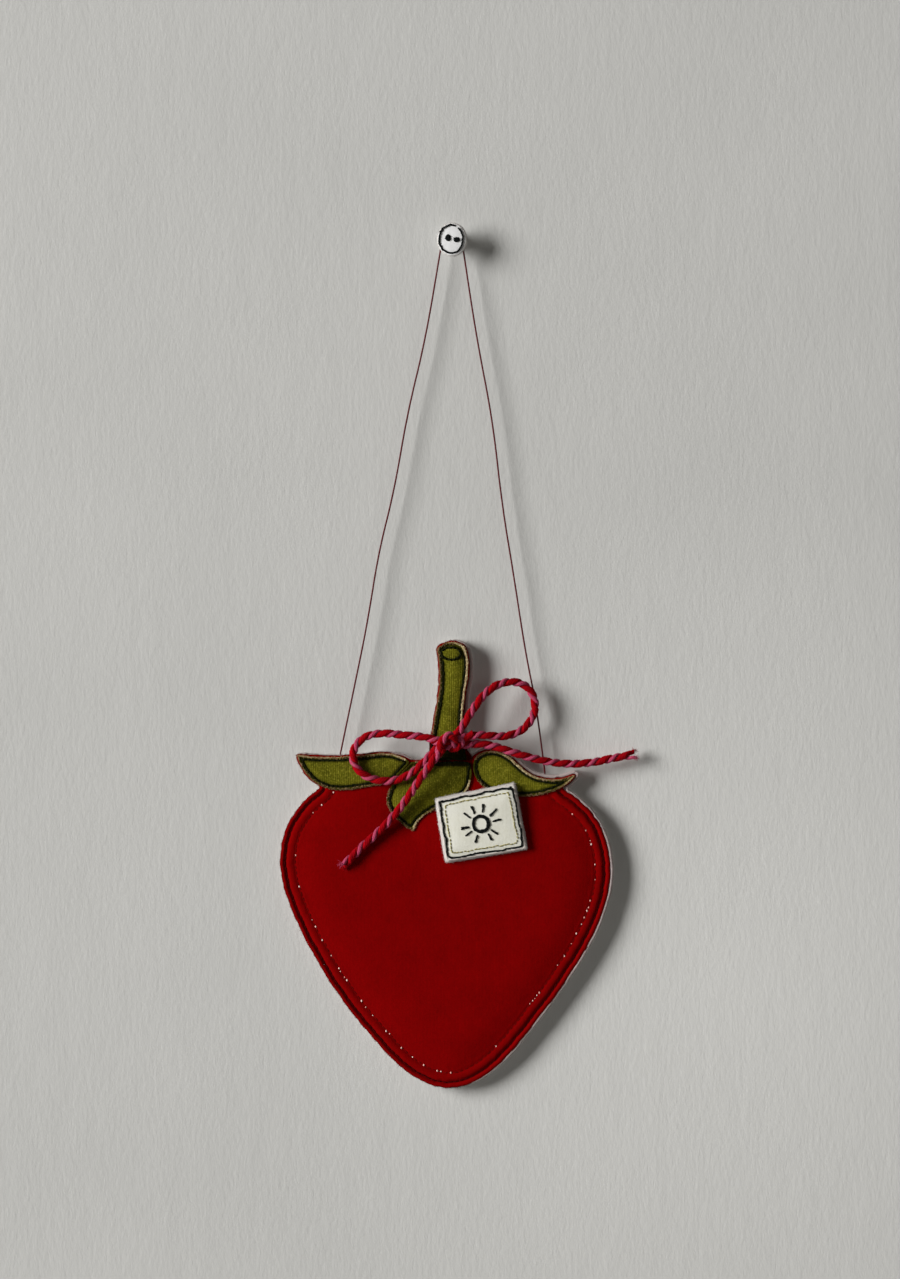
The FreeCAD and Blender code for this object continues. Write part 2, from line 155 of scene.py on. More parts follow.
# Each kind of stitch, in mm: length, radius, how far its ends stray, and the gap to the next one.
STITCHES = {
    "seam": (1.7, 0.20, 0.06, 0), "seam_back": (1.7, 0.14, 0.06, 0), "gold": (1.2, 0.10, 0.06, 0.5),
    "leaf": (1.5, 0.29, 0.08, 0), "leaf_again": (1.3, 0.20, 0.13, 0),
    "stem_end": (1.2, 0.34, 0.06, 0), "stem_end_again": (1.0, 0.26, 0.14, 0),
    "tag": (1.5, 0.27, 0.10, 0), "tag_again": (1.3, 0.19, 0.15, 0), "tag_gold": (0.8, 0.17, 0.10, 0.3),
    "sun_ring": (1.0, 0.24, 0.07, 0), "sun_ray": (1.1, 0.24, 0.06, 0),
    "ring": (1.0, 0.28, 0.09, 0), "ring_again": (0.9, 0.22, 0.16, 0),
    "eye": (0, 0.24, 0.05, 0),           # as long as the eye is wide there
}

# The loose fibres of each cut edge: their number, length and radius in mm, and how much they lean.
FIBRES = {
    "back_felt": (4200, 0.8, 0.025, 0.6), "tag_felt": (1500, 0.6, 0.025, 0.6),
    "button_felt": (700, 0.5, 0.025, 0.6), "front_fabric": (3600, 0.7, 0.028, 0.8),
    "wadding": (6500, 0.6, 0.024, 0.9), "stem_end_patch": (120, 0.3, 0.04, 0.6),
    "tag_fabric": (1600, 0.5, 0.022, 0.8), "button_fabric": (500, 0.4, 0.025, 0.6),
}
LEAF_FIBRES = (7, 0.42, 0.05, 0.55)      # their number is for each point of the outline

# Each patch, in mm: the step of its outline, the spacing of its net, how unevenly it is cut and the
# depth of its sewn groove; and the pressure that puffs it up.
PATCHES = {
    "stem_end_patch": (0.35, 0.6, 0.05, 0.1, 4.0), "tag_fabric": (0.4, 1.0, 0.1, 0.15, 3.0),
    "button_fabric": (0.3, 0.6, 0.08, 0.12, 4.0),
}
LEAF_PATCH = (0.4, 0.9, 0.13, 0.35, 6.0)

# Painted glints of the metallic line, small bright beads: a place for one at each step, and the share of
# places that have one, which varies along the line.
GLINT_STEP = 1.1 * MM
GLINT_SHARE = 0.24
GLINT_SHARE_VARIES = 0.10

# The place under the bow's knot where shade is painted dark, and the green patches with their rows of
# stitches.
KNOT_SHADE = ((-7.6 * MM, -157.5 * MM), (6.4 * MM, -149.2 * MM))
LEAVES = (("leaf_centre", "leaf_centre_stitch"), ("leaf_left", "leaf_left_stitch"),
          ("leaf_right", "leaf_right_stitch"), ("stem_patch", "stem_stitch"))

# The button: where its ring of stitches is open, in degrees, how far the ring is off the middle, and
# each eye's place and half sizes.
RING_GAP = (56, 70)
RING_OFFSET = (-0.34 * MM, 0.05 * MM)
EYES = ((-1.15 * MM, 0.50 * MM, 0.78 * MM, 0.92 * MM), (1.35 * MM, -0.05 * MM, 0.86 * MM, 0.64 * MM))

# The tag's sun: its ring's sizes as shares of its reach, its rays, and how far it is turned.
SUN_RINGS = (0.45, 0.40, 0.36)
SUN_RAYS = 10
SUN_TURN = math.radians(10.5)

# Simulation.
SIM_SCALE = 20.0
SIM_FRAMES = 20
CLOTH = {
    "quality": 6, "mass": 0.3, "air_damping": 2.0, "tension_stiffness": 20, "compression_stiffness": 20,
    "shear_stiffness": 10, "bending_stiffness": 0.5, "vertex_group_mass": "held", "use_pressure": True,
}
CHUNK = 2000             # points measured at a time, to save memory

# Camera, at the middle of the view and straight on to the wall.
VIEW_CENTRE = Vector((-0.6 * MM, 0, -119.6 * MM))
VIEW_HEIGHT = 383.7 * MM
LENS = 200
SENSOR = 36
FAR_CLIP = 30
LIGHT_SPREAD = 70        # degrees

# Each light: its place from the middle of the view, width, height, watts and colour. The window is far to
# the left, and there is very little else.
LIGHTS = {
    "window": ((-3.5, -2.15, 0.85), 1.8, 2.7, 44, (1.0, 0.99, 0.97)),
    "fill": ((1.6, -2.2, 0.4), 1.8, 1.8, 0.75, (1.0, 0.95, 0.86)),
    "behind": ((-0.6, 1.4, 0.5), 1.2, 1.2, 2.0, (1.0, 1.0, 1.0)),
}
ROOM_GLOW = 0.048


def seeded(name):
    """A random generator of this name's own."""
    return np.random.default_rng([ord(letter) for letter in name])


# ---- Lines ----

def fade(depth, reach):
    """1 at depth 0, falling evenly to 0 at this reach."""
    return np.clip(1 - depth / reach, 0, 1)


def bell(away, wide):
    """1 where away is 0, falling softly to 0 on both sides of it."""
    return np.exp(-(away / wide) ** 2)


def route_line(route):
    """Points along the smooth line of a cord's route, read from the curve itself."""
    curve = bpy.data.curves.new("route", "CURVE")
    curve.dimensions = "3D"
    curve.resolution_u = ROUTE_STEPS
    spline = curve.splines.new("NURBS")
    spline.points.add(len(route) - 1)
    for control, place in zip(spline.points, route):
        control.co = (*place, 1.0)
    spline.order_u = 3
    spline.use_endpoint_u = True
    holder = bpy.data.objects.new("route", curve)
    mesh = bpy.data.meshes.new_from_object(holder)
    line = np.array([vertex.co for vertex in mesh.vertices])
    bpy.data.objects.remove(holder)
    bpy.data.curves.remove(curve)
    bpy.data.meshes.remove(mesh)
    return line


def closed(line):
    """The line with its first point added again at its end."""
    return np.vstack([line, line[:1]])


def lengths_along(line):
    """How far along a line each of its points is."""
    return np.concatenate([[0], np.cumsum(np.linalg.norm(np.diff(line, axis=0), axis=1))])


def evenly(line, step, loop=False):
    """The same line through points at equal steps."""
    line = np.asarray(line, float)
    if loop:
        line = closed(line)
    reach = lengths_along(line)
    spots = np.linspace(0, reach[-1], max(2, round(reach[-1] / step)) + 1)
    if loop:
        spots = spots[:-1]
    return np.column_stack([np.interp(spots, reach, line[:, axis]) for axis in range(line.shape[1])])


def unit(vectors):
    return vectors / np.maximum(np.linalg.norm(vectors, axis=-1, keepdims=True), 1e-12)


def frames(line):
    """Directions along a line, and two across it that turn no more than they have to."""
    ahead = unit(np.gradient(line, axis=0))
    side = np.zeros_like(line)
    last = np.cross(ahead[0], (0.13, 1, 0.21))
    for number, way in enumerate(ahead):
        last = last - way * (last @ way)
        last = last / np.linalg.norm(last)
        side[number] = last
    return ahead, side, np.cross(ahead, side)


def measured(points, starts, measure):
    """Measures each point's ways from all the starts, a chunk of points at a time."""
    chunks = range(0, max(len(points), 1), CHUNK)
    return np.concatenate([measure(points[first:first + CHUNK, None] - starts) for first in chunks])


def distance_to(points, line, loop=True):
    """How far each point of the wall's plane is from a line, or from a loop."""
    starts = line if loop else line[:-1]
    run = (np.roll(line, -1, 0) - line) if loop else np.diff(line, axis=0)
    length = np.maximum((run ** 2).sum(1), 1e-18)

    def measure(part):
        share = np.clip((part * run).sum(2) / length, 0, 1)
        return np.linalg.norm(part - share[..., None] * run, axis=2).min(1)

    return measured(points, starts, measure)


def nearest_index(points, loop):
    """Which point of an outline is nearest to each point."""
    return measured(points, loop, lambda part: (part ** 2).sum(2).argmin(1))


def nearest_gap(points, others):
    """How far each point is from the nearest of some other points."""
    return np.linalg.norm(points - others[nearest_index(points, others)], axis=1)


def inside(points, loop):
    x, z = points[:, :1], points[:, 1:]
    x1, z1 = loop[:, 0], loop[:, 1]
    x2, z2 = np.roll(x1, -1), np.roll(z1, -1)
    rise = np.where(z2 == z1, 1e-12, z2 - z1)
    crosses = ((z1 > z) != (z2 > z)) & (x < (x2 - x1) * (z - z1) / rise + x1)
    return crosses.sum(1) % 2 == 1


def outwards(loop):
    """Directions out of a closed outline that runs anticlockwise."""
    ahead = unit(np.roll(loop, -1, 0) - np.roll(loop, 1, 0))
    return np.column_stack([ahead[:, 1], -ahead[:, 0]])


def grown(loop, distance):
    """The outline with each point moved outwards by its distance."""
    return loop + outwards(loop) * distance[:, None]


def outwards_at(points, loop):
    """The outward directions of an outline at the places nearest to some points."""
    return outwards(loop)[nearest_index(points, loop)]


def pushed_out(line, loop, distance):
    """A line near an outline, each point moved outwards by its distance."""
    return line + outwards_at(line, loop) * distance[:, None]


def inset_line(loop, depth):
    """The outline moved in by a depth, without the points that would cross over."""
    moved = loop - outwards(loop) * depth
    return moved[distance_to(moved, loop) > depth * 0.985]


def wavy(count, knots, rng):
    """Smooth random values round a closed line, from about -1 to 1."""
    values = rng.uniform(-1, 1, knots)
    place = np.arange(count) * knots / count
    before = place.astype(int) % knots
    share = place - place.astype(int)
    share = share * share * (3 - 2 * share)
    return values[before] * (1 - share) + values[(before + 1) % knots] * share


def smoothed(loop):
    for _ in range(2):
        loop = (np.roll(loop, 1, 0) + 2 * loop + np.roll(loop, -1, 0)) / 4
    return loop


def rim_of(faces):
    """The outer edge of a set of faces, in order."""
    edges = {(a, b) for face in faces for a, b in zip(face, face[1:] + face[:1])}
    after = {a: b for a, b in edges if (b, a) not in edges}
    order = [min(after)]
    while after[order[-1]] != order[0]:
        order.append(after[order[-1]])
    return order


def node_loop(node, step, cut=0.0, waves=4 * MM):
    """The outline of a CAD node's front face, cut by hand: slightly rounded, and uneven by up to cut."""
    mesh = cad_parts[node].data
    points, number, seen = [], [], {}
    for vertex in mesh.vertices:
        key = tuple(round(value / (0.001 * MM)) for value in vertex.co)
        if key not in seen:
            seen[key] = len(points)
            points.append(vertex.co)
        number.append(seen[key])
    front = min(point.y for point in points) + 0.01 * MM
    corners = [[number[index] for index in polygon.vertices] for polygon in mesh.polygons]
    rim = rim_of([face for face in corners if all(points[corner].y < front for corner in face)])
    loop = smoothed(evenly([(points[index].x, points[index].z) for index in rim], step, loop=True))
    if cut:
        knots = max(8, round(len(loop) * step / waves))
        rng = seeded(node)
        push = 0.6 * wavy(len(loop), knots, rng) + 0.4 * wavy(len(loop), knots * 4, rng)
        loop = grown(loop, push * cut)
    return loop


# ---- Meshes ----

def added(name, data):
    """A new object in the scene."""
    made = bpy.data.objects.new(name, data)
    bpy.context.scene.collection.objects.link(made)
    return made


class Build:
    """Collects closed shapes, and makes one piece of them."""

    def __init__(self):
        self.points = []
        self.tones = []
        self.faces = []
        self.uvs = []
        self.slots = []
        self.count = 0

    def solid(self, points, faces, tone=0.5, slot=0, uvs=None):
        """Adds a closed shape. tone is one number, or one for each point."""
        points = np.asarray(points, float).reshape(-1, 3)
        self.points.append(points)
        self.tones.append(np.broadcast_to(tone, len(points)))
        self.faces.extend([int(index) + self.count for index in face] for face in faces)
        self.uvs.extend(uvs or [(0.0, 0.0)] * sum(map(len, faces)))
        self.slots.extend([slot] * len(faces))
        self.count += len(points)

    def sweep(self, rings, along, tone=0.5, slot=0):
        """A tube through rings of points, closed at both ends. along is each ring's place on it."""
        rings = np.asarray(rings, float)
        turns, sides = rings.shape[:2]
        faces, uvs = [], []
        for low, here, there in zip(range(0, turns * sides, sides), along, along[1:]):
            high = low + sides
            for spoke in range(sides):
                after = (spoke + 1) % sides
                faces.append([low + spoke, low + after, high + after, high + spoke])
                left, right = spoke / sides, (spoke + 1) / sides
                uvs.extend([(here, left), (here, right), (there, right), (there, left)])
        faces.append(list(reversed(range(sides))))
        faces.append(list(range((turns - 1) * sides, turns * sides)))
        uvs.extend([(along[0], 0.0)] * sides + [(along[-1], 0.0)] * sides)
        self.solid(rings, faces, tone, slot, uvs)

    def tube(self, line, radius, sides, tone=0.5, slot=0):
        """A round tube along a line. radius is one number, or one for each point."""
        line = np.asarray(line, float)
        _, side, up = frames(line)
        turn = np.arange(sides) * 2 * math.pi / sides
        across = np.cos(turn)[None, :, None] * side[:, None] + np.sin(turn)[None, :, None] * up[:, None]
        size = np.broadcast_to(radius, len(line))[:, None, None]
        self.sweep(line[:, None] + across * size, lengths_along(line), tone, slot)

    def hairs(self, roots, ways, lengths, radius, rng, bend=0.5, slot=0, bright=1.0):
        """Fine tapering hairs, each a little bent, and each of its own tone up to bright."""
        count = len(roots)
        if not count:
            return
        ways = unit(np.asarray(ways, float))
        side = unit(np.cross(ways, rng.normal(size=(count, 3))))
        up = np.cross(ways, side)
        lengths = np.broadcast_to(lengths, count)[:, None]
        curl = (side * rng.normal(0, bend, (count, 1)) + up * rng.normal(0, bend, (count, 1))) * lengths
        rings = []
        for share, size in ((0, 1.0), (0.35, 0.85), (0.7, 0.6), (1.0, 0.15)):
            middle = roots + ways * lengths * share + curl * share ** 2
            for turn in (0, 2 * math.pi / 3, 4 * math.pi / 3):
                rings.append(middle + (side * math.cos(turn) + up * math.sin(turn)) * radius * size)
        points = np.stack(rings, 1)
        pattern = [(2, 1, 0), (9, 10, 11)]
        for low in (0, 3, 6):
            pattern.extend((low + a, low + b, low + 3 + b, low + 3 + a) for a, b in ((0, 1), (1, 2), (2, 0)))
        tones = rng.uniform(0, 1, count) * bright
        faces = [[start + index for index in face] for start in range(0, 12 * count, 12) for face in pattern]
        self.solid(points, faces, np.repeat(tones, 12), slot)

    def piece(self, name, materials, slot, body=None, stands_for=()):
        mesh = bpy.data.meshes.new(name)
        mesh.from_pydata(np.vstack(self.points), [], self.faces)
        mesh.uv_layers.new(name="thread").data.foreach_set("uv", np.array(self.uvs, np.float32).ravel())
        mesh.attributes.new("tone", "FLOAT", "POINT").data.foreach_set(
            "value", np.concatenate(self.tones).astype(np.float32))
        mesh.polygons.foreach_set("material_index", self.slots)
        mesh.polygons.foreach_set("use_smooth", [True] * len(mesh.polygons))
        for material in materials:
            mesh.materials.append(material)
        made = added(name, mesh)
        if body:
            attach(made, body)
        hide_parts(*stands_for)
        return made


def net(loop, depths, spacing):
    """Points and triangles that fill a closed outline, denser along lines at each depth from its edge."""
    spots = [loop] + [inset_line(loop, depth) for depth in depths]
    low, high = loop.min(0), loop.max(0)
    row = spacing * math.sqrt(3) / 2
    grid = []
    for number, z in enumerate(np.arange(low[1], high[1], row)):
        xs = np.arange(low[0] + (number % 2) * spacing / 2, high[0], spacing)
        grid.append(np.column_stack([xs, np.full(len(xs), z)]))
    grid = np.vstack(grid)
    grid = grid[inside(grid, loop)]
    clear = (depths[-1] if depths else 0) + 0.6 * spacing
    spots.append(grid[distance_to(grid, loop) > clear])
    points = np.vstack(spots)
    edges = [(index, (index + 1) % len(loop)) for index in range(len(loop))]
    found = geometry.delaunay_2d_cdt([Vector(point) for point in points], edges, [], 1, 1e-7)
    return np.array([tuple(point) for point in found[0]]), [list(face) for face in found[2]]


def closed_sheet(flat, faces, front, back):
    """A closed solid between two heights over the same net. The front faces the room."""
    count = len(flat)
    front_points = np.column_stack([flat[:, 0], front, flat[:, 1]])
    back_points = np.column_stack([flat[:, 0], back, flat[:, 1]])
    rim = rim_of(faces)
    middle = (front_points[rim] + back_points[rim]) / 2
    sides = []
    for here in range(len(rim)):
        after = (here + 1) % len(rim)
        low, high = 2 * count + here, 2 * count + after
        sides.append([rim[after], rim[here], low, high])
        sides.append([high, low, count + rim[here], count + rim[after]])
    turned = [[count + index for index in reversed(face)] for face in faces]
    return np.vstack([front_points, back_points, middle]), faces + turned + sides


def finer(points, faces):
    """The same solid with each triangle in four, and its points drawn a little towards their neighbours."""
    corners = np.array([(face[0], face[k], face[k + 1]) for face in faces for k in range(1, len(face) - 1)])
    edges = np.sort(np.vstack([corners[:, [0, 1]], corners[:, [1, 2]], corners[:, [2, 0]]]), axis=1)
    edges, which = np.unique(edges, axis=0, return_inverse=True)
    middle = len(points) + which.reshape(3, -1).T
    points = np.vstack([points, points[edges].mean(1)])
    a, b, c = corners.T
    ab, bc, ca = middle.T
    quarters = ((a, ab, ca), (ab, b, bc), (ca, bc, c), (ab, bc, ca))
    corners = np.vstack([np.column_stack(three) for three in quarters])
    total = np.zeros_like(points)
    count = np.zeros(len(points))
    for here, there in ((0, 1), (1, 2), (2, 0)):
        np.add.at(total, corners[:, here], points[corners[:, there]])
        np.add.at(count, corners[:, here], 1)
    return 0.6 * points + 0.4 * total / count[:, None], corners.tolist()


def surface_of(*solids):
    """Finds the height of the front surface at a place on the wall's plane."""
    points, faces = [], []
    for solid_points, solid_faces in solids:
        start = len(points)
        points.extend(Vector(point) for point in solid_points)
        faces.extend([index + start for index in face] for face in solid_faces)
    tree = BVHTree.FromPolygons(points, faces)

    def height(x, z):
        hit = tree.ray_cast(Vector((x, -0.1, z)), Vector((0, 1, 0)))[0]
        return hit.y if hit else None
    return height


# ---- Padding ----

def padded_sheets(sheets):
    """Inflates every sheet between the points that are held, by cloth simulation."""
    scene = bpy.context.scene
    holders = []
    for sheet in sheets:
        points = np.column_stack([sheet["flat"][:, 0], sheet["start"], sheet["flat"][:, 1]]) * SIM_SCALE
        mesh = bpy.data.meshes.new("cloth")
        mesh.from_pydata(points, [], sheet["faces"])
        holder = added("cloth", mesh)
        held = holder.vertex_groups.new(name="held")
        held.add([int(index) for index in np.flatnonzero(sheet["held"])], 1.0, "REPLACE")
        cloth = holder.modifiers.new("cloth", "CLOTH")
        for setting, value in CLOTH.items():
            setattr(cloth.settings, setting, value)
        cloth.settings.uniform_pressure_force = sheet["pressure"]
        cloth.settings.effector_weights.gravity = 0
        cloth.collision_settings.use_collision = False
        holders.append(holder)
    for number in range(1, SIM_FRAMES + 1):
        scene.frame_set(number)
    graph = bpy.context.evaluated_depsgraph_get()
    for sheet, holder in zip(sheets, holders):
        found = holder.evaluated_get(graph).to_mesh()
        rise = sheet["start"] - np.array([vertex.co.y for vertex in found.vertices]) / SIM_SCALE
        sheet["rise"] = sheet["lift"] * np.tanh(np.maximum(rise, 0) / sheet["lift"])
        bpy.data.objects.remove(holder)
    scene.frame_set(1)


def sheet_of(name, loop, depths, spacing, start, held, lift, pressure):
    """A sheet to be padded. start gives each point's height, and held says which are sewn down."""
    flat, faces = net(loop, depths, spacing)
    depth = distance_to(flat, loop)
    return dict(name=name, loop=loop, flat=flat, faces=faces, depth=depth, start=start(flat, depth),
                held=held(flat, depth), lift=lift, pressure=pressure)


# ---- Materials ----

class Look:
    """A material's nodes, with short ways to add to them."""

    def __init__(self, name, shine=0.08, **values):
        self.material = bpy.data.materials.new(name)
        self.material.use_nodes = True
        self.tree = self.material.node_tree
        self.shader = self.tree.nodes["Principled BSDF"]
        self.set(self.shader.inputs["Specular IOR Level"], shine)
        for socket, value in values.items():
            self.set(self.shader.inputs[socket.replace("_", " ")], value)

    def set(self, socket, value):
        if isinstance(value, bpy.types.NodeSocket):
            self.tree.links.new(value, socket)
        else:
            socket.default_value = value

    def node(self, kind, inputs=None, output=0, **settings):
        made = self.tree.nodes.new(kind)
        for name, value in settings.items():
            setattr(made, name, value)
        for name, value in (inputs or {}).items():
            self.set(made.inputs[name], value)
        return made.outputs[output]

    def place(self, scale=(1, 1, 1), location=(0, 0, 0)):
        where = self.tree.nodes.new("ShaderNodeTexCoord").outputs["Object"]
        return self.node("ShaderNodeMapping", {"Vector": where, "Scale": scale, "Location": location})

    def noise(self, size, detail=3.0, rough=0.6, stretch=(1, 1, 1), warp=0.0):
        """Soft random values, with features of this size in metres."""
        return self.node("ShaderNodeTexNoise", {
            "Vector": self.place(stretch), "Scale": 1 / size, "Detail": detail,
            "Roughness": rough, "Distortion": warp})

    def patches(self, size, low=0.3, high=0.7, detail=3.0, rough=0.6, stretch=(1, 1, 1), warp=0.0):
        """Patches from 0 to 1, of this size in metres."""
        return self.spread(self.noise(size, detail, rough, stretch, warp), low, high)

    def waves(self, size, direction, warp):
        """Even bands of this width in metres."""
        return self.node("ShaderNodeTexWave", {
            "Vector": self.place(), "Scale": 0.314 / size, "Distortion": warp, "Detail": 1.0,
            "Detail Scale": 2.0}, output=1, bands_direction=direction)

    def spread(self, value, low, high):
        """Stretches the part from low to high over 0 to 1."""
        return self.node("ShaderNodeMapRange", {0: value, 1: low, 2: high, 3: 0.0, 4: 1.0})

    def sum(self, a, b, operation="ADD"):
        return self.node("ShaderNodeMath", {0: a, 1: b}, operation=operation)

    def mix(self, share, a, b):
        made = self.tree.nodes.new("ShaderNodeMix")
        made.data_type = "RGBA"
        for index, value in ((0, share), (6, a), (7, b)):
            self.set(made.inputs[index], value)
        return made.outputs[2]

    def tone(self):
        return self.node("ShaderNodeAttribute", output=2, attribute_name="tone")

    def bump(self, height, depth, strength=1.0):
        """Relief of this depth in metres."""
        before = self.shader.inputs["Normal"].links
        inputs = {"Height": height, "Distance": depth, "Strength": strength}
        if before:
            inputs["Normal"] = before[0].from_socket
        self.set(self.shader.inputs["Normal"], self.node("ShaderNodeBump", inputs))

    def colour(self, value):
        self.set(self.shader.inputs["Base Color"], value)


def paint(red, green, blue):
    return (red, green, blue, 1.0)


def cotton(name, base, dark, light, weave, sheen_tint, sheen, margin=None):
    """Brushed cotton: a fine weave under a soft nap, mottled, and of the margin colour where the tone is
    high: a greyer border on the tag, painted shade on the red.
    """
    look = Look(name, shine=0.02, Roughness=0.9, Sheen_Weight=sheen, Sheen_Roughness=0.5,
                Sheen_Tint=sheen_tint)
    patches = look.patches(7 * MM, 0.32, 0.68)
    nap = look.patches(0.7 * MM, detail=4.0, rough=0.7, stretch=(1, 1, 0.55), warp=0.6)
    cloth = look.mix(look.sum(nap, 0.55, "MULTIPLY"), look.mix(patches, dark, base), light)
    if margin:
        outer = look.mix(look.sum(nap, 0.5, "MULTIPLY"), margin, cloth)
        cloth = look.mix(look.spread(look.tone(), 0.5, 1.0), cloth, outer)
    look.colour(cloth)
    warp = look.waves(weave, "X", warp=0.8)
    weft = look.waves(weave, "Z", warp=0.8)
    look.bump(look.sum(warp, weft, "MAXIMUM"), 0.05 * MM, 0.5)
    look.bump(look.noise(0.35 * MM, 4.0, 0.75, warp=0.8), 0.12 * MM, 0.6)
    look.bump(look.noise(2.6 * MM, 2.0, 0.5), 0.16 * MM, 0.5)
    return look.material


def felt(name, base, dark, fluff):
    """Felted fibres: matted, with loose ones standing off the surface."""
    look = Look(name, Roughness=0.95, Sheen_Weight=0.15, Sheen_Roughness=0.6, Sheen_Tint=paint(1, 1, 0.97))
    matted = look.noise(fluff, 5.0, 0.75, warp=1.6)
    look.colour(look.mix(look.spread(matted, 0.3, 0.7), dark, base))
    look.bump(matted, 0.25 * MM, 0.8)
    look.bump(look.noise(3 * MM, 3.0, 0.6), 0.3 * MM, 0.5)
    return look.material


def wool(name):
    """Olive brushed wool with pale and rusty flecks, a tan margin where it is cut, and painted shade, near
    black, where the tone is below 0.
    """
    look = Look(name, shine=0.03, Roughness=0.92, Sheen_Weight=0.04, Sheen_Roughness=0.5,
                Sheen_Tint=paint(0.6, 0.6, 0.15))
    ground = look.mix(look.patches(5 * MM), paint(0.066, 0.066, 0.0038), paint(0.136, 0.130, 0.0075))
    pale = look.patches(0.5 * MM, 0.5, 0.72, rough=0.7, warp=0.5)
    with_pale = look.mix(pale, ground, paint(0.29, 0.27, 0.026))
    rusty = look.patches(0.8 * MM, 0.6, 0.76, rough=0.7, stretch=(1.3, 1, 0.9), warp=0.7)
    with_rust = look.mix(look.sum(rusty, 0.6, "MULTIPLY"), with_pale, paint(0.12, 0.065, 0.008))
    # Painted shade: tone below 0 darkens the wool to near black, along the sewn outline and under the bow's
    # knot.
    painted_shade = look.mix(look.spread(look.tone(), -0.15, -1.0), with_rust, paint(0.012, 0.011, 0.001))
    # The tan of the raw edge, mixed in where the tone is high; the tone paints it wider and paler on edges
    # that face right, as painted light.
    raw = look.mix(look.patches(0.35 * MM, 0.35, 0.65, rough=0.7), paint(0.26, 0.19, 0.08),
                   paint(0.62, 0.53, 0.32))
    edge = look.sum(look.tone(), look.noise(0.5 * MM, 3.0, 0.7))
    look.colour(look.mix(look.spread(edge, 0.75, 0.95), painted_shade, raw))
    look.bump(look.waves(0.55 * MM, "X", warp=1.2), 0.08 * MM, 0.8)
    look.bump(look.noise(0.35 * MM, 4.0, 0.75, warp=1.0), 0.11 * MM, 0.7)
    look.bump(look.noise(1.8 * MM, 2.0, 0.5), 0.2 * MM, 0.5)
    return look.material


def spun(name, base, dark, pitch, rough=0.6, metal=0.0, shine=0.2):
    """Twisted thread: grooves run round it at a slant, by its own length and girth, and painted shade
    darkens them.
    """
    look = Look(name, shine=shine, Roughness=rough, Metallic=metal)
    where = look.node("ShaderNodeUVMap", uv_map="thread")
    parts = look.tree.nodes.new("ShaderNodeSeparateXYZ")
    look.set(parts.inputs[0], where)
    lay = look.sum(look.sum(parts.outputs[0], 1 / pitch, "MULTIPLY"), parts.outputs[1])
    wave = look.node("ShaderNodeMath", {0: look.sum(lay, 2 * math.pi, "MULTIPLY")}, operation="SINE")
    ridge = look.spread(wave, -1.0, 1.0)
    fibre = look.noise(0.15 * MM, 3.0, 0.7)
    # Painted shade: the colour goes to the dark one in the grooves of the twist, which the relief also
    # follows.
    body = look.mix(look.spread(ridge, 0.0, 0.7), dark, base)
    lighter = tuple(min(1.0, 1.6 * value) for value in base[:3]) + (1.0,)
    look.colour(look.mix(look.sum(look.tone(), 0.5, "MULTIPLY"), body, lighter))
    look.bump(ridge, 0.1 * MM, 0.7)
    look.bump(fibre, 0.05 * MM, 0.6)
    return look.material


def ply(name, base, dark, light):
    """One soft ply of twine: fine fibres drawn along it, with painted shade where they part."""
    look = Look(name, shine=0.03, Roughness=0.85, Sheen_Weight=0.06, Sheen_Roughness=0.4,
                Sheen_Tint=paint(1, 0.3, 0.4))
    strands = look.node("ShaderNodeTexNoise", {
        "Vector": look.node("ShaderNodeMapping", {
            "Vector": look.node("ShaderNodeUVMap", uv_map="thread"), "Scale": (500, 14, 1)}),
        "Scale": 1.0, "Detail": 3.0, "Roughness": 0.65, "Distortion": 0.3})
    fine = look.noise(0.3 * MM, 3.0, 0.7, warp=0.8)
    # Painted shade: darker where the fibres part, by the same pattern as their relief.
    body = look.mix(look.spread(strands, 0.3, 0.65), dark, base)
    look.colour(look.mix(look.sum(look.spread(fine, 0.5, 0.75), 0.6, "MULTIPLY"), body, light))
    look.bump(strands, 0.16 * MM, 0.8)
    look.bump(fine, 0.08 * MM, 0.5)
    return look.material


def frayed(name, first, second, third):
    """Loose cut fibres, each of its own tone."""
    look = Look(name, Roughness=0.9, Sheen_Weight=0.2)
    tone = look.tone()
    low = look.mix(look.spread(tone, 0.0, 0.45), first, second)
    look.colour(look.mix(look.spread(tone, 0.5, 1.0), low, third))
    look.bump(look.noise(0.12 * MM, 2.0, 0.6), 0.04 * MM, 0.5)
    return look.material


def moulded_plastic():
    look = Look("pin_plastic", shine=0.5, Roughness=0.28, Coat_Weight=0.2, Subsurface_Weight=0.1)
    look.shader.inputs["Subsurface Scale"].default_value = 0.8 * MM
    look.colour(look.mix(look.patches(2.5 * MM), paint(0.80, 0.80, 0.77), paint(0.88, 0.88, 0.86)))
    look.bump(look.noise(0.9 * MM, 3.0, 0.6), 0.02 * MM, 0.5)
    return look.material


def drawn_steel():
    look = Look("pin_steel", shine=0.5, Metallic=1.0, Anisotropic=0.3)
    lines = look.noise(0.25 * MM, 4.0, 0.7, stretch=(1, 0.06, 1))
    look.colour(look.mix(look.spread(lines, 0.3, 0.7), paint(0.50, 0.50, 0.49), paint(0.68, 0.68, 0.66)))
    look.set(look.shader.inputs["Roughness"], look.node("ShaderNodeMapRange", {0: lines, 3: 0.18, 4: 0.38}))
    look.bump(lines, 0.01 * MM, 0.5)
    return look.material


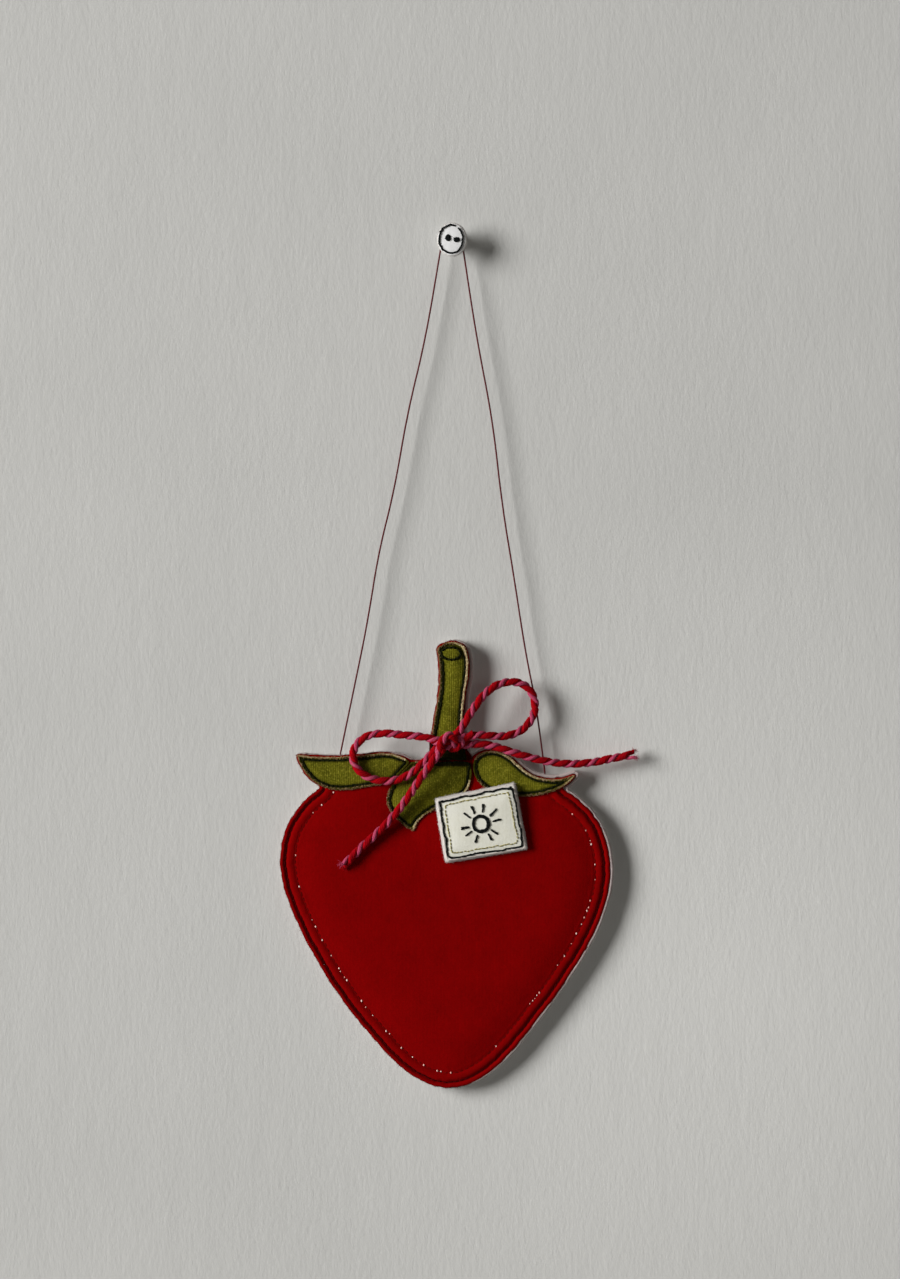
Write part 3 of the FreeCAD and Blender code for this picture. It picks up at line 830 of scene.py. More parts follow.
def painted_wall():
    """Emulsion on plaster, and nothing at all from behind, so that the back can be seen through it."""
    look = Look("painted_wall", Roughness=0.8)
    soft = look.patches(60 * MM, rough=0.5)
    even = look.mix(soft, paint(0.556, 0.557, 0.544), paint(0.578, 0.578, 0.565))
    # A painted pool of light: the wall is paler towards the lower right.
    low_right = look.place(scale=(6.5, 1, 6.5), location=(-0.55, 0, 1.45))
    patch_of_light = look.node("ShaderNodeTexGradient", {"Vector": low_right}, output=1,
                               gradient_type="SPHERICAL")
    look.colour(look.mix(patch_of_light, even, paint(0.655, 0.655, 0.64)))
    look.bump(look.noise(1.1 * MM, 4.0, 0.7, stretch=(1, 1, 0.35)), 0.16 * MM, 0.75)
    look.bump(look.noise(7 * MM, 3.0, 0.5, stretch=(1, 1, 0.4)), 0.25 * MM, 0.5)
    clear = look.node("ShaderNodeBsdfTransparent")
    from_behind = look.node("ShaderNodeNewGeometry", output=6)
    both = look.node("ShaderNodeMixShader", {0: from_behind, 1: look.shader.outputs[0], 2: clear})
    look.set(look.tree.nodes["Material Output"].inputs["Surface"], both)
    return look.material


def pale_floor():
    look = Look("pale_floor", Roughness=0.7)
    soft = look.patches(80 * MM, rough=0.5)
    look.colour(look.mix(soft, paint(0.56, 0.56, 0.545), paint(0.60, 0.60, 0.585)))
    look.bump(look.noise(2 * MM, 3.0, 0.6), 0.1 * MM, 0.4)
    return look.material


# The red's margin colour is painted shade, near black, for its cut edges that do not face right and for the
# place under the bow's knot.
RED_COTTON = cotton("red_cotton", paint(0.200, 0.0002, 0.0004), paint(0.165, 0.0002, 0.0003),
                    paint(0.245, 0.0005, 0.0008), 0.42 * MM, paint(1.0, 0.04, 0.04), 0.03,
                    margin=paint(0.022, 0.0002, 0.0003))
RED_FRAY = frayed("red_fray", paint(0.05, 0.0006, 0.001), paint(0.11, 0.001, 0.0015),
                  paint(0.20, 0.003, 0.005))
CREAM_COTTON = cotton("cream_cotton", paint(0.78, 0.775, 0.69), paint(0.71, 0.70, 0.59),
                      paint(0.84, 0.84, 0.77), 0.40 * MM, paint(1, 1, 0.95), 0.1,
                      margin=paint(0.66, 0.60, 0.575))
BUTTON_COTTON = cotton("button_cotton", paint(0.86, 0.865, 0.875), paint(0.79, 0.795, 0.80),
                       paint(0.90, 0.905, 0.915), 0.35 * MM, paint(1, 1, 1), 0.1)
WHITE_FELT = felt("white_felt", paint(0.80, 0.79, 0.76), paint(0.60, 0.58, 0.54), 0.35 * MM)
TAG_FELT = felt("tag_felt", paint(0.66, 0.63, 0.60), paint(0.46, 0.43, 0.41), 0.30 * MM)
# Painted shade: the white wadding and its loose fibres are a darker pinkish grey, standing for the shade on
# its edge.
WADDING_WITH_PAINTED_SHADE = felt("wadding", paint(0.49, 0.41, 0.40), paint(0.34, 0.28, 0.27), 0.55 * MM)
WADDING_FRAY_WITH_PAINTED_SHADE = frayed("wadding_fray", paint(0.30, 0.24, 0.23), paint(0.45, 0.38, 0.37),
                      paint(0.60, 0.52, 0.51))
PALE_FRAY = frayed("pale_fray", paint(0.56, 0.50, 0.48), paint(0.72, 0.67, 0.65),
                   paint(0.86, 0.82, 0.80))
GREEN_WOOL = wool("green_wool")
# Fibres on edges that face left keep to the dark brown end, as painted shade, and those on edges that face
# right reach the pale end.
TAN_FRAY = frayed("tan_fray", paint(0.09, 0.035, 0.010), paint(0.34, 0.22, 0.10), paint(0.62, 0.52, 0.30))
GREEN_THREAD = spun("green_thread", paint(0.008, 0.010, 0.002), paint(0.002, 0.003, 0.001), 0.5 * MM,
                     shine=0.03)
BLACK_THREAD = spun("black_thread", paint(0.008, 0.010, 0.010), paint(0.002, 0.002, 0.002), 0.5 * MM,
                     shine=0.03)
RED_THREAD = spun("red_thread", paint(0.10, 0.006, 0.010), paint(0.035, 0.002, 0.004), 0.7 * MM)
SEAM_THREAD = spun("seam_thread", paint(0.060, 0.0005, 0.001), paint(0.018, 0.0002, 0.0004), 0.5 * MM,
                   shine=0.03)
CREAM_THREAD = spun("cream_thread", paint(0.75, 0.74, 0.66), paint(0.45, 0.44, 0.38), 0.5 * MM)
GOLD_THREAD = spun("gold_thread", paint(0.14, 0.003, 0.002), paint(0.04, 0.001, 0.001), 0.35 * MM,
                   shine=0.03)
# Painted glints: a rough, pale material for bright beads that stand for the metallic line's highlights.
PAINTED_GLINT = frayed("painted_glint", paint(0.30, 0.03, 0.02), paint(0.85, 0.40, 0.34), paint(1.0, 0.84, 0.78))
PALE_GOLD_THREAD = spun("pale_gold_thread", paint(0.34, 0.30, 0.10), paint(0.12, 0.10, 0.03), 0.35 * MM,
                        rough=0.4, metal=0.2)
RED_PLY = ply("red_ply", paint(0.39, 0.0010, 0.005), paint(0.11, 0.0004, 0.002), paint(0.50, 0.007, 0.015))
PINK_PLY = ply("pink_ply", paint(0.52, 0.070, 0.150), paint(0.22, 0.011, 0.040), paint(0.66, 0.22, 0.31))


# ---- Cords ----

def hanging_thread():
    line = route_line(THREAD_ROUTE)
    build = Build()
    build.tube(evenly(line, 0.6 * MM), THREAD_RADIUS, 10)
    thread = build.piece("hanging_thread", [RED_THREAD], "red_thread",
                         stands_for=["thread_over_pin", "thread_strand_left", "thread_strand_right"])
    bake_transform(thread)


def twine(build, line, phase, rng, splay=False):
    """Two plies laid round each other along a line, with the odd loose fibre. A free end comes apart."""
    line = evenly(line, TWINE_STEP)
    ahead, side, up = frames(line)
    along = np.arange(len(line)) * TWINE_STEP
    to_end = along[-1] - along
    parting = fade(to_end, SPLAY_LENGTH) ** 1.5 if splay else np.zeros(len(line))
    turn = phase - 2 * math.pi * (along - 0.5 * SPLAY_LENGTH * parting ** 2) / TWINE_PITCH
    spokes = np.arange(PLY_SIDES) * 2 * math.pi / PLY_SIDES
    for number, (offset, thick, wide) in enumerate((RED_PLY_SIZE, PINK_PLY_SIZE)):
        angle = (turn + number * math.pi)[:, None]
        out = np.cos(angle) * side + np.sin(angle) * up
        around = -np.sin(angle) * side + np.cos(angle) * up
        middle = line + out * (offset + (SPLAY_OFFSET - offset) * parting)[:, None]
        twist = 2 * math.pi * along[:, None] / YARN_PITCH
        yarns = 1 + YARN_RELIEF * np.cos(YARNS_IN_PLY * spokes[None] + twist)
        uneven = 1 + 0.05 * wavy(len(line), len(line) // 9 + 2, rng)
        size = yarns * ((1 - 0.3 * parting) * uneven)[:, None]
        rings = (middle[:, None] + out[:, None] * (thick * np.cos(spokes) * size)[..., None]
                 + around[:, None] * (wide * np.sin(spokes) * size)[..., None])
        build.sweep(rings, along, slot=number)
        if splay:
            spread = rng.normal(0, 0.35, (SPLAY_HAIRS, 3))
            roots = middle[-1] - ahead[-1] * 0.5 * MM + spread * 0.35 * MM
            build.hairs(roots, ahead[-1] + spread + 0.3 * out[-1], rng.uniform(0.8, 2.0, SPLAY_HAIRS) * MM,
                        0.07 * MM, rng, bend=0.3, slot=number)
        count = round(along[-1] / LOOSE_HAIR_STEP)
        pick = rng.integers(2, len(line) - 2, count)
        spoke = rng.uniform(0, 2 * math.pi, count)[:, None]
        away = out[pick] * np.cos(spoke) + around[pick] * np.sin(spoke)
        roots = middle[pick] + out[pick] * thick * np.cos(spoke) + around[pick] * wide * np.sin(spoke)
        build.hairs(roots - away * 0.05 * MM, away * 0.5 + ahead[pick] * rng.choice([-1, 1], (count, 1)),
                    rng.uniform(0.5, 1.3, count) * MM, 0.022 * MM, rng, bend=0.35, slot=number)


def bow():
    routes = (
        ("loop_left", LOOP_LEFT, "bow_loop_left", 0.0626, 0.4, "object"),
        ("loop_right", LOOP_RIGHT, "bow_loop_right", 0.0647, 2.0, "object"),
        ("tail_left", TAIL_LEFT, "bow_tail_left", 0.0470, 1.2, "bare"),
        ("tail_right", TAIL_RIGHT, "bow_tail_right", 0.0545, 2.6, "bare"),
    )
    for name, route, node, length, phase, far_end in routes:
        line = route_line(route)
        build = Build()
        twine(build, line, phase, seeded(name), splay=far_end == "bare")
        piece = build.piece("twine_" + name, [RED_PLY, PINK_PLY], "bakers_twine", "strawberry", [node])
    build = Build()
    for number, route in enumerate(KNOT_ROUTES):
        twine(build, route_line(route), KNOT_PHASES[number], seeded("knot" + str(number)))
    build.piece("twine_knot", [RED_PLY, PINK_PLY], "bakers_twine", "strawberry", ["bow_knot"])


# ---- Fabric layers ----

def stitches(build, line, height, kind, rng, side=1, reach=None):
    """Stitches laid end to end along a line on the wall's plane, each dipping into the fabric at its ends.

    side is 1 on the fabric's front and -1 on its back. reach is a length to use in place of the kind's.
    """
    length, radius, stray, gap = (value * MM for value in STITCHES[kind])
    length = reach or length
    spots = evenly(line, length + gap)
    for here, ahead in zip(spots, spots[1:]):
        way = unit(ahead - here)
        begin = here + rng.normal(0, stray, 2)
        end = here + way * length + rng.normal(0, stray, 2)
        first, last = height(*begin), height(*end)
        if first is None or last is None:
            continue
        path = []
        for share, rise in zip(STITCH_SHARES, STITCH_RISES):
            x, z = begin + (end - begin) * share
            level = height(x, z)
            straight = first + (last - first) * share
            level = straight if level is None else min(level, straight)
            path.append((x, level - side * rise * radius, z))
        build.tube(path, radius * STITCH_SIZES, STITCH_SIDES, tone=rng.uniform(0, 1))


def sewn_twice(build, line, height, kind, rng, skip):
    """A hand-sewn line whose second pass begins a few points further on and strays more."""
    stitches(build, line, height, kind, rng)
    stitches(build, line[skip:], height, kind + "_again", rng)


def fringe(build, loop, low, high, fibres, rng, keep=True, bright=1.0):
    """Loose fibres along a cut edge, between two heights, in the build's second material.

    keep says which points of the outline have fibres, and bright how pale they are there.
    """
    count, length, radius, lean = fibres
    pick = rng.integers(0, len(loop), count)
    pick = pick[np.broadcast_to(keep, len(loop))[pick]]
    count = len(pick)
    out = outwards(loop)[pick]
    y = low + (high - low) * rng.uniform(0, 1, count)
    x, z = (loop[pick] - out * 0.12 * MM).T
    roots = np.column_stack([x, y, z])
    ways = np.column_stack([out[:, 0], np.zeros(count), out[:, 1]]) + rng.normal(0, lean, (count, 3))
    build.hairs(roots, ways, rng.uniform(0.4, 1.0, count) * (length * MM), radius * MM, rng, slot=1,
                bright=np.broadcast_to(bright, len(loop))[pick])


def front_y(node):
    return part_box(node)[0].y


def back_y(node):
    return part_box(node)[1].y


def thickness(node):
    return back_y(node) - front_y(node)


def covered_by(flat, loops):
    """Which points lie inside any of some outlines."""
    return np.any([inside(flat, loop) for loop in loops], axis=0)


def quilt(patch_loops):
    """The red front: sewn down along the seam and, here and there, along the gold stitches."""
    loop = node_loop("front_fabric", 0.6 * MM, cut=0.2 * MM, waves=1.8 * MM)
    to_notch = np.linalg.norm(loop - NOTCH, axis=1)
    loop = grown(loop, 1.2 * MM * bell(to_notch, 1.6 * MM))
    plane = front_y("front_fabric")
    rng = seeded("quilt")

    def start(flat, depth):
        edge = EDGE_BACK * fade(depth, 0.9 * MM)
        seam = SEAM_BACK * bell(depth - SEAM_DEPTH, 0.45 * MM)
        gold = GOLD_BACK * bell(depth - GOLD_DEPTH, 0.4 * MM)
        return plane + np.where(covered_by(flat, patch_loops), 0, edge + seam + gold)

    def held(flat, depth):
        seam = abs(depth - SEAM_DEPTH) < 0.28 * MM
        gold = (abs(depth - GOLD_DEPTH) < 0.2 * MM) & (rng.uniform(0, 1, len(depth)) < 0.8)
        return (depth < 0.2 * MM) | seam | gold | covered_by(flat, patch_loops)

    depths = [value * MM for value in QUILT_NET]
    return sheet_of("quilt", loop, depths, 1.3 * MM, start, held, BERRY_LIFT, 6.0)


def patch(name, settings, inset, lift):
    """A patch sewn down by a line of stitches this far inside its edge, and puffed up by at most lift."""
    step, spacing, cut, groove = (value * MM for value in settings[:4])
    loop = node_loop(name, step, cut=cut)
    plane = front_y(name)
    depths = [share * inset for share in (0.4, 0.7, 1.0, 1.35, 1.8)]

    def start(flat, depth):
        return plane + groove * (bell(depth - inset, 0.3 * MM) - 0.7 * fade(depth, 0.85 * inset))

    return sheet_of(name, loop, depths, spacing, start, lambda flat, depth: depth < inset + 0.12 * MM,
                    lift, settings[4])


def sewn(sheet, thick, drop=0.3 * MM):
    """The closed solid of a padded sheet of fabric, its edge rounded off and its surface a little uneven."""
    edge = drop * fade(sheet["depth"], 0.35 * MM)
    front = sheet["start"] - sheet["rise"] + edge
    points, faces = finer(*closed_sheet(sheet["flat"], sheet["faces"], front, front - edge + thick))
    rng = seeded(sheet["name"] + " relief")
    wide = rng.uniform(0, 2 * math.pi, (8, 3))
    for number, (one, two, three) in enumerate(wide):
        size = (1.2 + 0.9 * number) * MM
        wave = np.sin(points[:, 0] / size * math.cos(one) + points[:, 2] / size * math.sin(one) + two)
        points[:, 1] += FABRIC_RELIEF * wave * np.sin(points[:, 2] / size * 0.7 + three)
    return points, faces


def patch_piece(name, sheet, materials, slot, body, rng, fibre_depth, tone=lambda points: 0.5):
    """A small padded patch as a piece, with fibres along its edge. Returns it and its solid."""
    node = sheet["name"]
    points, faces = sewn(sheet, thickness(node))
    build = Build()
    build.solid(points, faces, tone(points))
    plane = front_y(node)
    fringe(build, sheet["loop"], plane, plane + fibre_depth, FIBRES[node], rng)
    return build.piece(name, materials, slot, body, [node]), (points, faces)


def felt_layer(name, node, step, spacing, cut, material, slot, body, back=None):
    """A plain layer of felt with a soft, fibrous edge."""
    loop = node_loop(node, step, cut=cut)
    flat, faces = net(loop, [0.4 * MM, 1.0 * MM], spacing)
    rng = seeded(name)
    depth = distance_to(flat, loop)
    round_off = 0.25 * MM * fade(depth, 0.5 * MM) ** 2
    front = np.full(len(flat), front_y(node)) + round_off + rng.normal(0, 0.02 * MM, len(flat))
    rear = np.full(len(flat), back_y(node) if back is None else back) - round_off
    build = Build()
    build.solid(*finer(*closed_sheet(flat, faces, front, rear)))
    fringe(build, loop, front.max(), rear.min(), FIBRES[node], rng)
    build.piece(name, [material, PALE_FRAY], slot, body, [node])


def berry(quilt_sheet):
    points, faces = sewn(quilt_sheet, FABRIC_THICK, drop=0.08 * MM)
    loop = quilt_sheet["loop"]
    flat = points[:, [0, 2]]
    build = Build()
    # Painted shade: tone 1 darkens the red along cut edges that do not face right, and under the bow's knot.
    painted_edge_shade = fade(distance_to(flat, loop), 0.3 * MM) * (outwards_at(flat, loop)[:, 0] < 0.3)
    build.solid(points, faces, tone=0.5 + 0.5 * np.maximum(painted_edge_shade, under_knot(flat)))
    plane = front_y("front_fabric") + EDGE_BACK
    rng = seeded("berry fringe")
    fringe(build, loop, plane, plane + FABRIC_THICK, FIBRES["front_fabric"], rng)
    made = build.piece("berry_fabric", [RED_COTTON, RED_FRAY], "red_cotton", "strawberry", ["front_fabric"])
    return points, faces


def wadding_layer(berry_solid):
    """The wadding fills the space behind the quilted front, and its cut edge stands out beyond the red."""
    loop = node_loop("wadding", 0.6 * MM, cut=0.14 * MM)
    low_right = np.clip(outwards(loop) @ (0.5, -0.85), 0, 1)
    loop = grown(loop, 0.22 * MM * low_right)
    flat, faces = net(loop, [value * MM for value in WADDING_NET], 1.3 * MM)
    height = surface_of(berry_solid)
    rim = front_y("front_fabric") + EDGE_BACK
    depth = distance_to(flat, loop)
    levels = [height(x, z) for x, z in flat]
    front = np.array([rim if level is None else level + FABRIC_THICK for level in levels]) + 0.12 * MM
    front += 0.3 * MM * fade(depth, 0.35 * MM) ** 2
    back = np.full(len(flat), back_y("wadding") - 0.05 * MM)
    build = Build()
    build.solid(*finer(*closed_sheet(flat, faces, front, back)))
    rng = seeded("wadding")
    fringe(build, loop, back_y("wadding"), rim + 0.1 * MM, FIBRES["wadding"], rng)
    made = build.piece("wadding_fill", [WADDING_WITH_PAINTED_SHADE, WADDING_FRAY_WITH_PAINTED_SHADE], "wadding", "strawberry", ["wadding"])


def shown_runs(loop, depth, patch_loops):
    """The parts of a line inside the berry's edge that no patch covers."""
    line = closed(inset_line(loop, depth))
    gaps = np.min([distance_to(line, patch_loop) for patch_loop in patch_loops], axis=0)
    return open_runs(line, ~(covered_by(line, patch_loops) | (gaps < 0.4 * MM)))


def berry_stitching(height, loop, patch_loops):
    """The dark seam, and the fine metallic line inside it, whose glints here and there are painted: small
    bright beads.
    """
    seam = Build()
    rng = seeded("seam_stitching")
    for run in shown_runs(loop, SEAM_DEPTH, patch_loops):
        stitches(seam, run, height, "seam", rng)
        stitches(seam, run, lambda x, z: FELT_BACK, "seam_back", rng, side=-1)
    seam.piece("seam_stitching", [SEAM_THREAD], "seam_thread", "strawberry", ["seam_stitch"])
    gold = Build()
    rng = seeded("gold_stitching")
    for run in shown_runs(loop, GOLD_DEPTH, patch_loops):
        stitches(gold, run, height, "gold", rng)
        spots = evenly(run, GLINT_STEP)
        crowd = wavy(len(spots), len(spots) // 12 + 2, rng)
        for spot, many in zip(spots, crowd):
            if rng.uniform() > GLINT_SHARE + GLINT_SHARE_VARIES * many:
                continue
            # Each bead is a painted glint, a bright dot in place of a highlight.
            x, z = spot + rng.normal(0, 0.08 * MM, 2)
            level = height(x, z)
            size = rng.uniform(0.12, 0.27) * MM
            path = [(x, level - size * 0.4, z + size * share) for share in (-1.2, -0.7, 0, 0.7, 1.2)]
            gold.tube(path, size * np.array([0.3, 0.8, 1, 0.8, 0.3]), 8, tone=rng.uniform(0.35, 1), slot=1)
    gold.piece("gold_stitching", [GOLD_THREAD, PAINTED_GLINT], "gold_thread", "strawberry", ["gold_stitches"])


def open_runs(line, keep):
    """The stretches of a line whose points are kept, as separate lines."""
    if keep.all():
        return [line]
    start = int(np.flatnonzero(~keep)[0])
    runs = [[]]
    for point, shown in zip(np.roll(line[:-1], -start, 0), np.roll(keep[:-1], -start)):
        if shown:
            runs[-1].append(point)
        else:
            runs.append([])
    return [np.array(run) for run in runs if len(run) > 3]


def under_knot(flat):
    """Which points lie under the bow's knot, where shade is painted dark on the red and on the wool."""
    low, high = np.array(KNOT_SHADE)
    return ((flat > low) & (flat < high)).all(1)


def curled(out):
    """How much painted light a raw edge gets for facing this way, from 0 to 1: most where it faces right and
    a little up.
    """
    return np.clip(out @ (0.95, 0.3) - 0.05, 0, 1)


def wool_tone(points, loop, open_edge):
    """Above 0 where the pale raw edge shows, painted wider and paler on edges that face right as painted
    light, and below 0 for painted shade along the sewn outline and under the bow's knot.
    """
    flat = points[:, [0, 2]]
    depth = distance_to(flat, loop)
    # Painted light: the pale raw edge is wider and paler where the edge faces right.
    wide = (0.08 + 0.75 * curled(outwards_at(flat, loop))) * MM
    pale = np.clip(1.25 - depth / wide, 0, 1) * open_edge[nearest_index(flat, loop)]
    pale = pale * np.clip(0.1 + 2.5 * curled(outwards_at(flat, loop)), 0, 1)
    # Painted shade in the groove of the outline's stitches, fading inwards, and over all the wool under the
    # bow's knot.
    painted_shade = 0.75 * bell(np.maximum(depth - LEAF_INSET - 0.15 * MM, 0), 0.65 * MM)
    painted_shade = np.maximum(painted_shade, under_knot(flat))
    return np.where(pale > 0.1, pale, -painted_shade)


def leaves(sheets, end_loop):
    """Puffed wool patches, each with its dark outline and a frayed tan edge. Returns the stem's solid."""
    centre = sheets["leaf_centre"]["loop"]
    beside = np.vstack([sheets["leaf_left"]["loop"], sheets["leaf_right"]["loop"]])
    for name, stitch_node in LEAVES:
        sheet = sheets[name]
        loop = sheet["loop"]
        points, faces = sewn(sheet, thickness(name), drop=0.08 * MM)
        height = surface_of((points, faces))
        others = beside if name == "leaf_centre" else centre
        free = nearest_gap(loop, others) > 1.8 * MM
        open_edge = free & ~under_knot(loop)
        # Painted light: fibres and curls of cut fibre are paler on edges that face right and darker on those
        # that face left.
        bright = 0.35 + 0.65 * curled(outwards(loop))
        build = Build()
        build.solid(points, faces, tone=wool_tone(points, loop, open_edge))
        rng = seeded(name + " edge")
        plane = front_y(name)
        fibres = (len(loop) * LEAF_FIBRES[0], *LEAF_FIBRES[1:])
        fringe(build, loop, plane - 0.1 * MM, plane + 0.35 * MM, fibres, rng, open_edge, bright)
        beads(build, loop, open_edge, bright, plane, rng)
        made = build.piece(name + "_wool", [GREEN_WOOL, TAN_FRAY], "green_wool", "strawberry", [name])
        line = inset_line(loop, LEAF_INSET)
        shown = np.ones(len(line), bool)
        if name == "leaf_centre":
            shown = nearest_gap(line, sheets["leaf_left"]["loop"]) > 1.7 * MM
        if name == "stem_patch":
            shown = nearest_gap(line, end_loop) > 1.0 * MM
            stem_solid = (points, faces)
        line = pushed_out(line, loop, 0.85 * MM * under_knot(line))
        sewing = Build()
        rng = seeded(name + " stitches")
        for run in open_runs(closed(line), np.append(shown, shown[0])):
            run = run + rng.normal(0, 0.03 * MM, run.shape)
            sewn_twice(sewing, run, height, "leaf", rng, skip=2)
        sewing.piece(name + "_stitching", [GREEN_THREAD], "green_thread", "strawberry", [stitch_node])
    return stem_solid


def beads(build, loop, free, bright, plane, rng):
    """Little curls of cut fibre that lie along a raw edge."""
    out = outwards(loop)
    for index in np.flatnonzero(free):
        along = np.array([-out[index][1], out[index][0]])
        for _ in range(2):
            if rng.uniform() < 0.25:
                continue
            spot = loop[index] + out[index] * rng.uniform(-0.5, 0.12) * MM
            way = unit(out[index] * rng.uniform(0.3, 1) + along * rng.normal(0, 0.7))
            way = way * rng.uniform(0.2, 0.42) * MM
            level = plane - rng.uniform(0.05, 0.22) * MM
            path = []
            for share, drop in ((-1, 0.2), (-0.5, 0), (0, -0.06), (0.5, 0), (1, 0.2)):
                x, z = spot + way * share
                path.append((x, level + drop * MM, z))
            size = rng.uniform(0.07, 0.13) * MM
            # Painted light: each curl's tone is scaled by bright, paler on edges that face right.
            tone = rng.uniform(0.25, 1) * bright[index]
            build.tube(path, size * np.array([0.5, 0.9, 1, 0.9, 0.4]), 5, tone=tone, slot=1)


def stem_end(sheet, stem_solid):
    """The oval scrap at the cut end of the stem."""
    rng = seeded("stem end")
    _, end_solid = patch_piece("stem_end_wool", sheet, [GREEN_WOOL, TAN_FRAY], "green_wool", "strawberry",
                               rng, 0.4 * MM, tone=lambda points: 0.0)
    sewing = Build()
    line = evenly(inset_line(sheet["loop"], STEM_END_INSET), 0.3 * MM, loop=True)
    line[:, 0] = line[:, 0].mean() + 1.1 * (line[:, 0] - line[:, 0].mean())
    line = closed(line)
    height = surface_of(stem_solid, end_solid)
    sewn_twice(sewing, line, height, "stem_end", rng, skip=1)
    sewing.piece("stem_end_stitching", [GREEN_THREAD], "green_thread", "strawberry", ["stem_end_stitch"])


# ---- Tag ----

def tag(sheet):
    felt_layer("tag_felt_back", "tag_felt", 0.5 * MM, 1.4 * MM, 0.12 * MM, TAG_FELT, "tag_felt",
               "strawberry")
    rng = seeded("tag")

    def margin_tone(points):
        depth = distance_to(points[:, [0, 2]], sheet["loop"])
        return 0.5 + 0.5 * np.clip(1.5 - depth / (0.7 * MM), 0, 1)

    made, tag_solid = patch_piece("tag_cotton", sheet, [CREAM_COTTON, PALE_FRAY], "cream_cotton",
                                  "strawberry", rng, 0.7 * MM, margin_tone)
    height = surface_of(tag_solid)
    outline_stitches = Build()
    line = inset_line(sheet["loop"], TAG_INSET)
    line = closed(pushed_out(line, sheet["loop"], 0.28 * MM * wavy(len(line), 34, rng)))
    sewn_twice(outline_stitches, line, height, "tag", rng, skip=3)
    outline_stitches.piece("tag_outline_stitching", [BLACK_THREAD], "black_thread", "strawberry",
                           ["tag_outline_stitch"])
    gold = Build()
    inner = closed(inset_line(sheet["loop"], TAG_GOLD_DEPTH))
    stitches(gold, inner, height, "tag_gold", rng)
    gold.piece("tag_gold_stitching", [PALE_GOLD_THREAD], "gold_thread", "strawberry", ["tag_gold_stitches"])
    sun_motif(height)


def sun_motif(height):
    """A plain stitched sun: a ring drawn over and over, with uneven rays."""
    low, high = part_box("tag_motif_stitch")
    middle = np.array([(low.x + high.x) / 2, (low.z + high.z) / 2])
    reach = (high.x - low.x) / 2
    rng = seeded("sun")
    build = Build()
    for share in SUN_RINGS:
        turn = np.linspace(0, 2 * math.pi, 40) + rng.uniform(0, 1)
        size = reach * (share + 0.02 * wavy(40, 9, rng))
        ring = middle + np.column_stack([np.cos(turn), np.sin(turn)]) * size[:, None]
        stitches(build, ring, height, "sun_ring", rng)
    for number in range(SUN_RAYS):
        angle = SUN_TURN + number * 2 * math.pi / SUN_RAYS + rng.normal(0, 0.06)
        way = np.array([math.cos(angle), math.sin(angle)])
        across = np.array([-way[1], way[0]])
        for _ in range(2):
            near = middle + way * reach * rng.uniform(0.60, 0.66) + across * rng.normal(0, 0.1) * MM
            far = middle + way * reach * rng.uniform(0.98, 1.12) + across * rng.normal(0, 0.2) * MM
            stitches(build, np.array([near, far]), height, "sun_ray", rng)
    build.piece("tag_sun_stitching", [BLACK_THREAD], "black_thread", "strawberry", ["tag_motif_stitch"])


# ---- Pin and button ----

def button(sheet):
    felt_layer("button_felt_disc", "button_felt", 0.35 * MM, 0.9 * MM, 0.12 * MM, WHITE_FELT,
               "white_felt", "wall_pin")
    rng = seeded("button")
    made, button_solid = patch_piece("button_cotton_disc", sheet, [BUTTON_COTTON, PALE_FRAY],
                                     "button_cotton", "wall_pin", rng, 0.5 * MM)
    height = surface_of(button_solid)
    ring = Build()
    line = inset_line(sheet["loop"], BUTTON_INSET)
    line = pushed_out(line, sheet["loop"], 0.12 * MM * wavy(len(line), 9, rng)) + RING_OFFSET
    across, up = (line - line.mean(0)).T
    bearing = np.degrees(np.arctan2(up, across))
    first = int(abs(bearing - RING_GAP[1]).argmin())
    line, bearing = np.roll(line, -first, axis=0), np.roll(bearing, -first)
    line = line[~((bearing > RING_GAP[0]) & (bearing < RING_GAP[1]))]
    stitches(ring, line, height, "ring", rng)
    heavy = line[2: len(line) // 4]
    for _ in range(2):
        stitches(ring, heavy, height, "ring_again", rng)
    ring.piece("button_ring_stitching", [BLACK_THREAD], "black_thread", "wall_pin", ["button_ring_stitch"])
    button_eyes(height)


def button_eyes(height):
    """Two satin-stitched dots in place of a button's holes."""
    rng = seeded("eyes")
    build = Build()
    for x, z, wide, high in EYES:
        for turn in np.linspace(0.2, math.pi + 0.2, 8)[:-1]:
            way = np.array([math.cos(turn) * wide, math.sin(turn) * high])
            middle = np.array([x, z]) + rng.normal(0, 0.06 * MM, 2)
            stitches(build, np.array([middle - way, middle + way]), height, "eye", rng,
                     reach=np.linalg.norm(way))
    build.piece("button_eye_stitching", [BLACK_THREAD], "black_thread", "wall_pin", ["button_eye_stitches"])


def finish_cad_pieces():
    """The hard parts, and the hidden threads, keep their CAD shapes."""
    looks = {
        "pin_needle": drawn_steel(), "pin_body": moulded_plastic(), "thread_anchors": RED_THREAD,
        "bow_tack_stitch": RED_THREAD, "tag_tack_stitches": CREAM_THREAD,
    }
    for node, material in looks.items():
        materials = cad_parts[node].data.materials
        materials.clear()
        materials.append(material)


# ---- Stage ----

def plane_at(name, corners, material):
    mesh = bpy.data.meshes.new(name)
    mesh.from_pydata(corners, [], [(0, 1, 2, 3)])
    mesh.materials.append(material)
    made = added(name, mesh)
    return made


def stage():
    wide, top, bottom, deep = 2.5, 2.0, -1.3, 4.0
    behind = 0.3 * MM
    wall = plane_at("wall", [(-wide, behind, bottom), (wide, behind, bottom), (wide, behind, top),
                             (-wide, behind, top)], painted_wall())
    wall.visible_shadow = False
    plane_at("floor", [(-wide, -deep, bottom), (wide, -deep, bottom), (wide, deep, bottom),
                       (-wide, deep, bottom)], pale_floor())


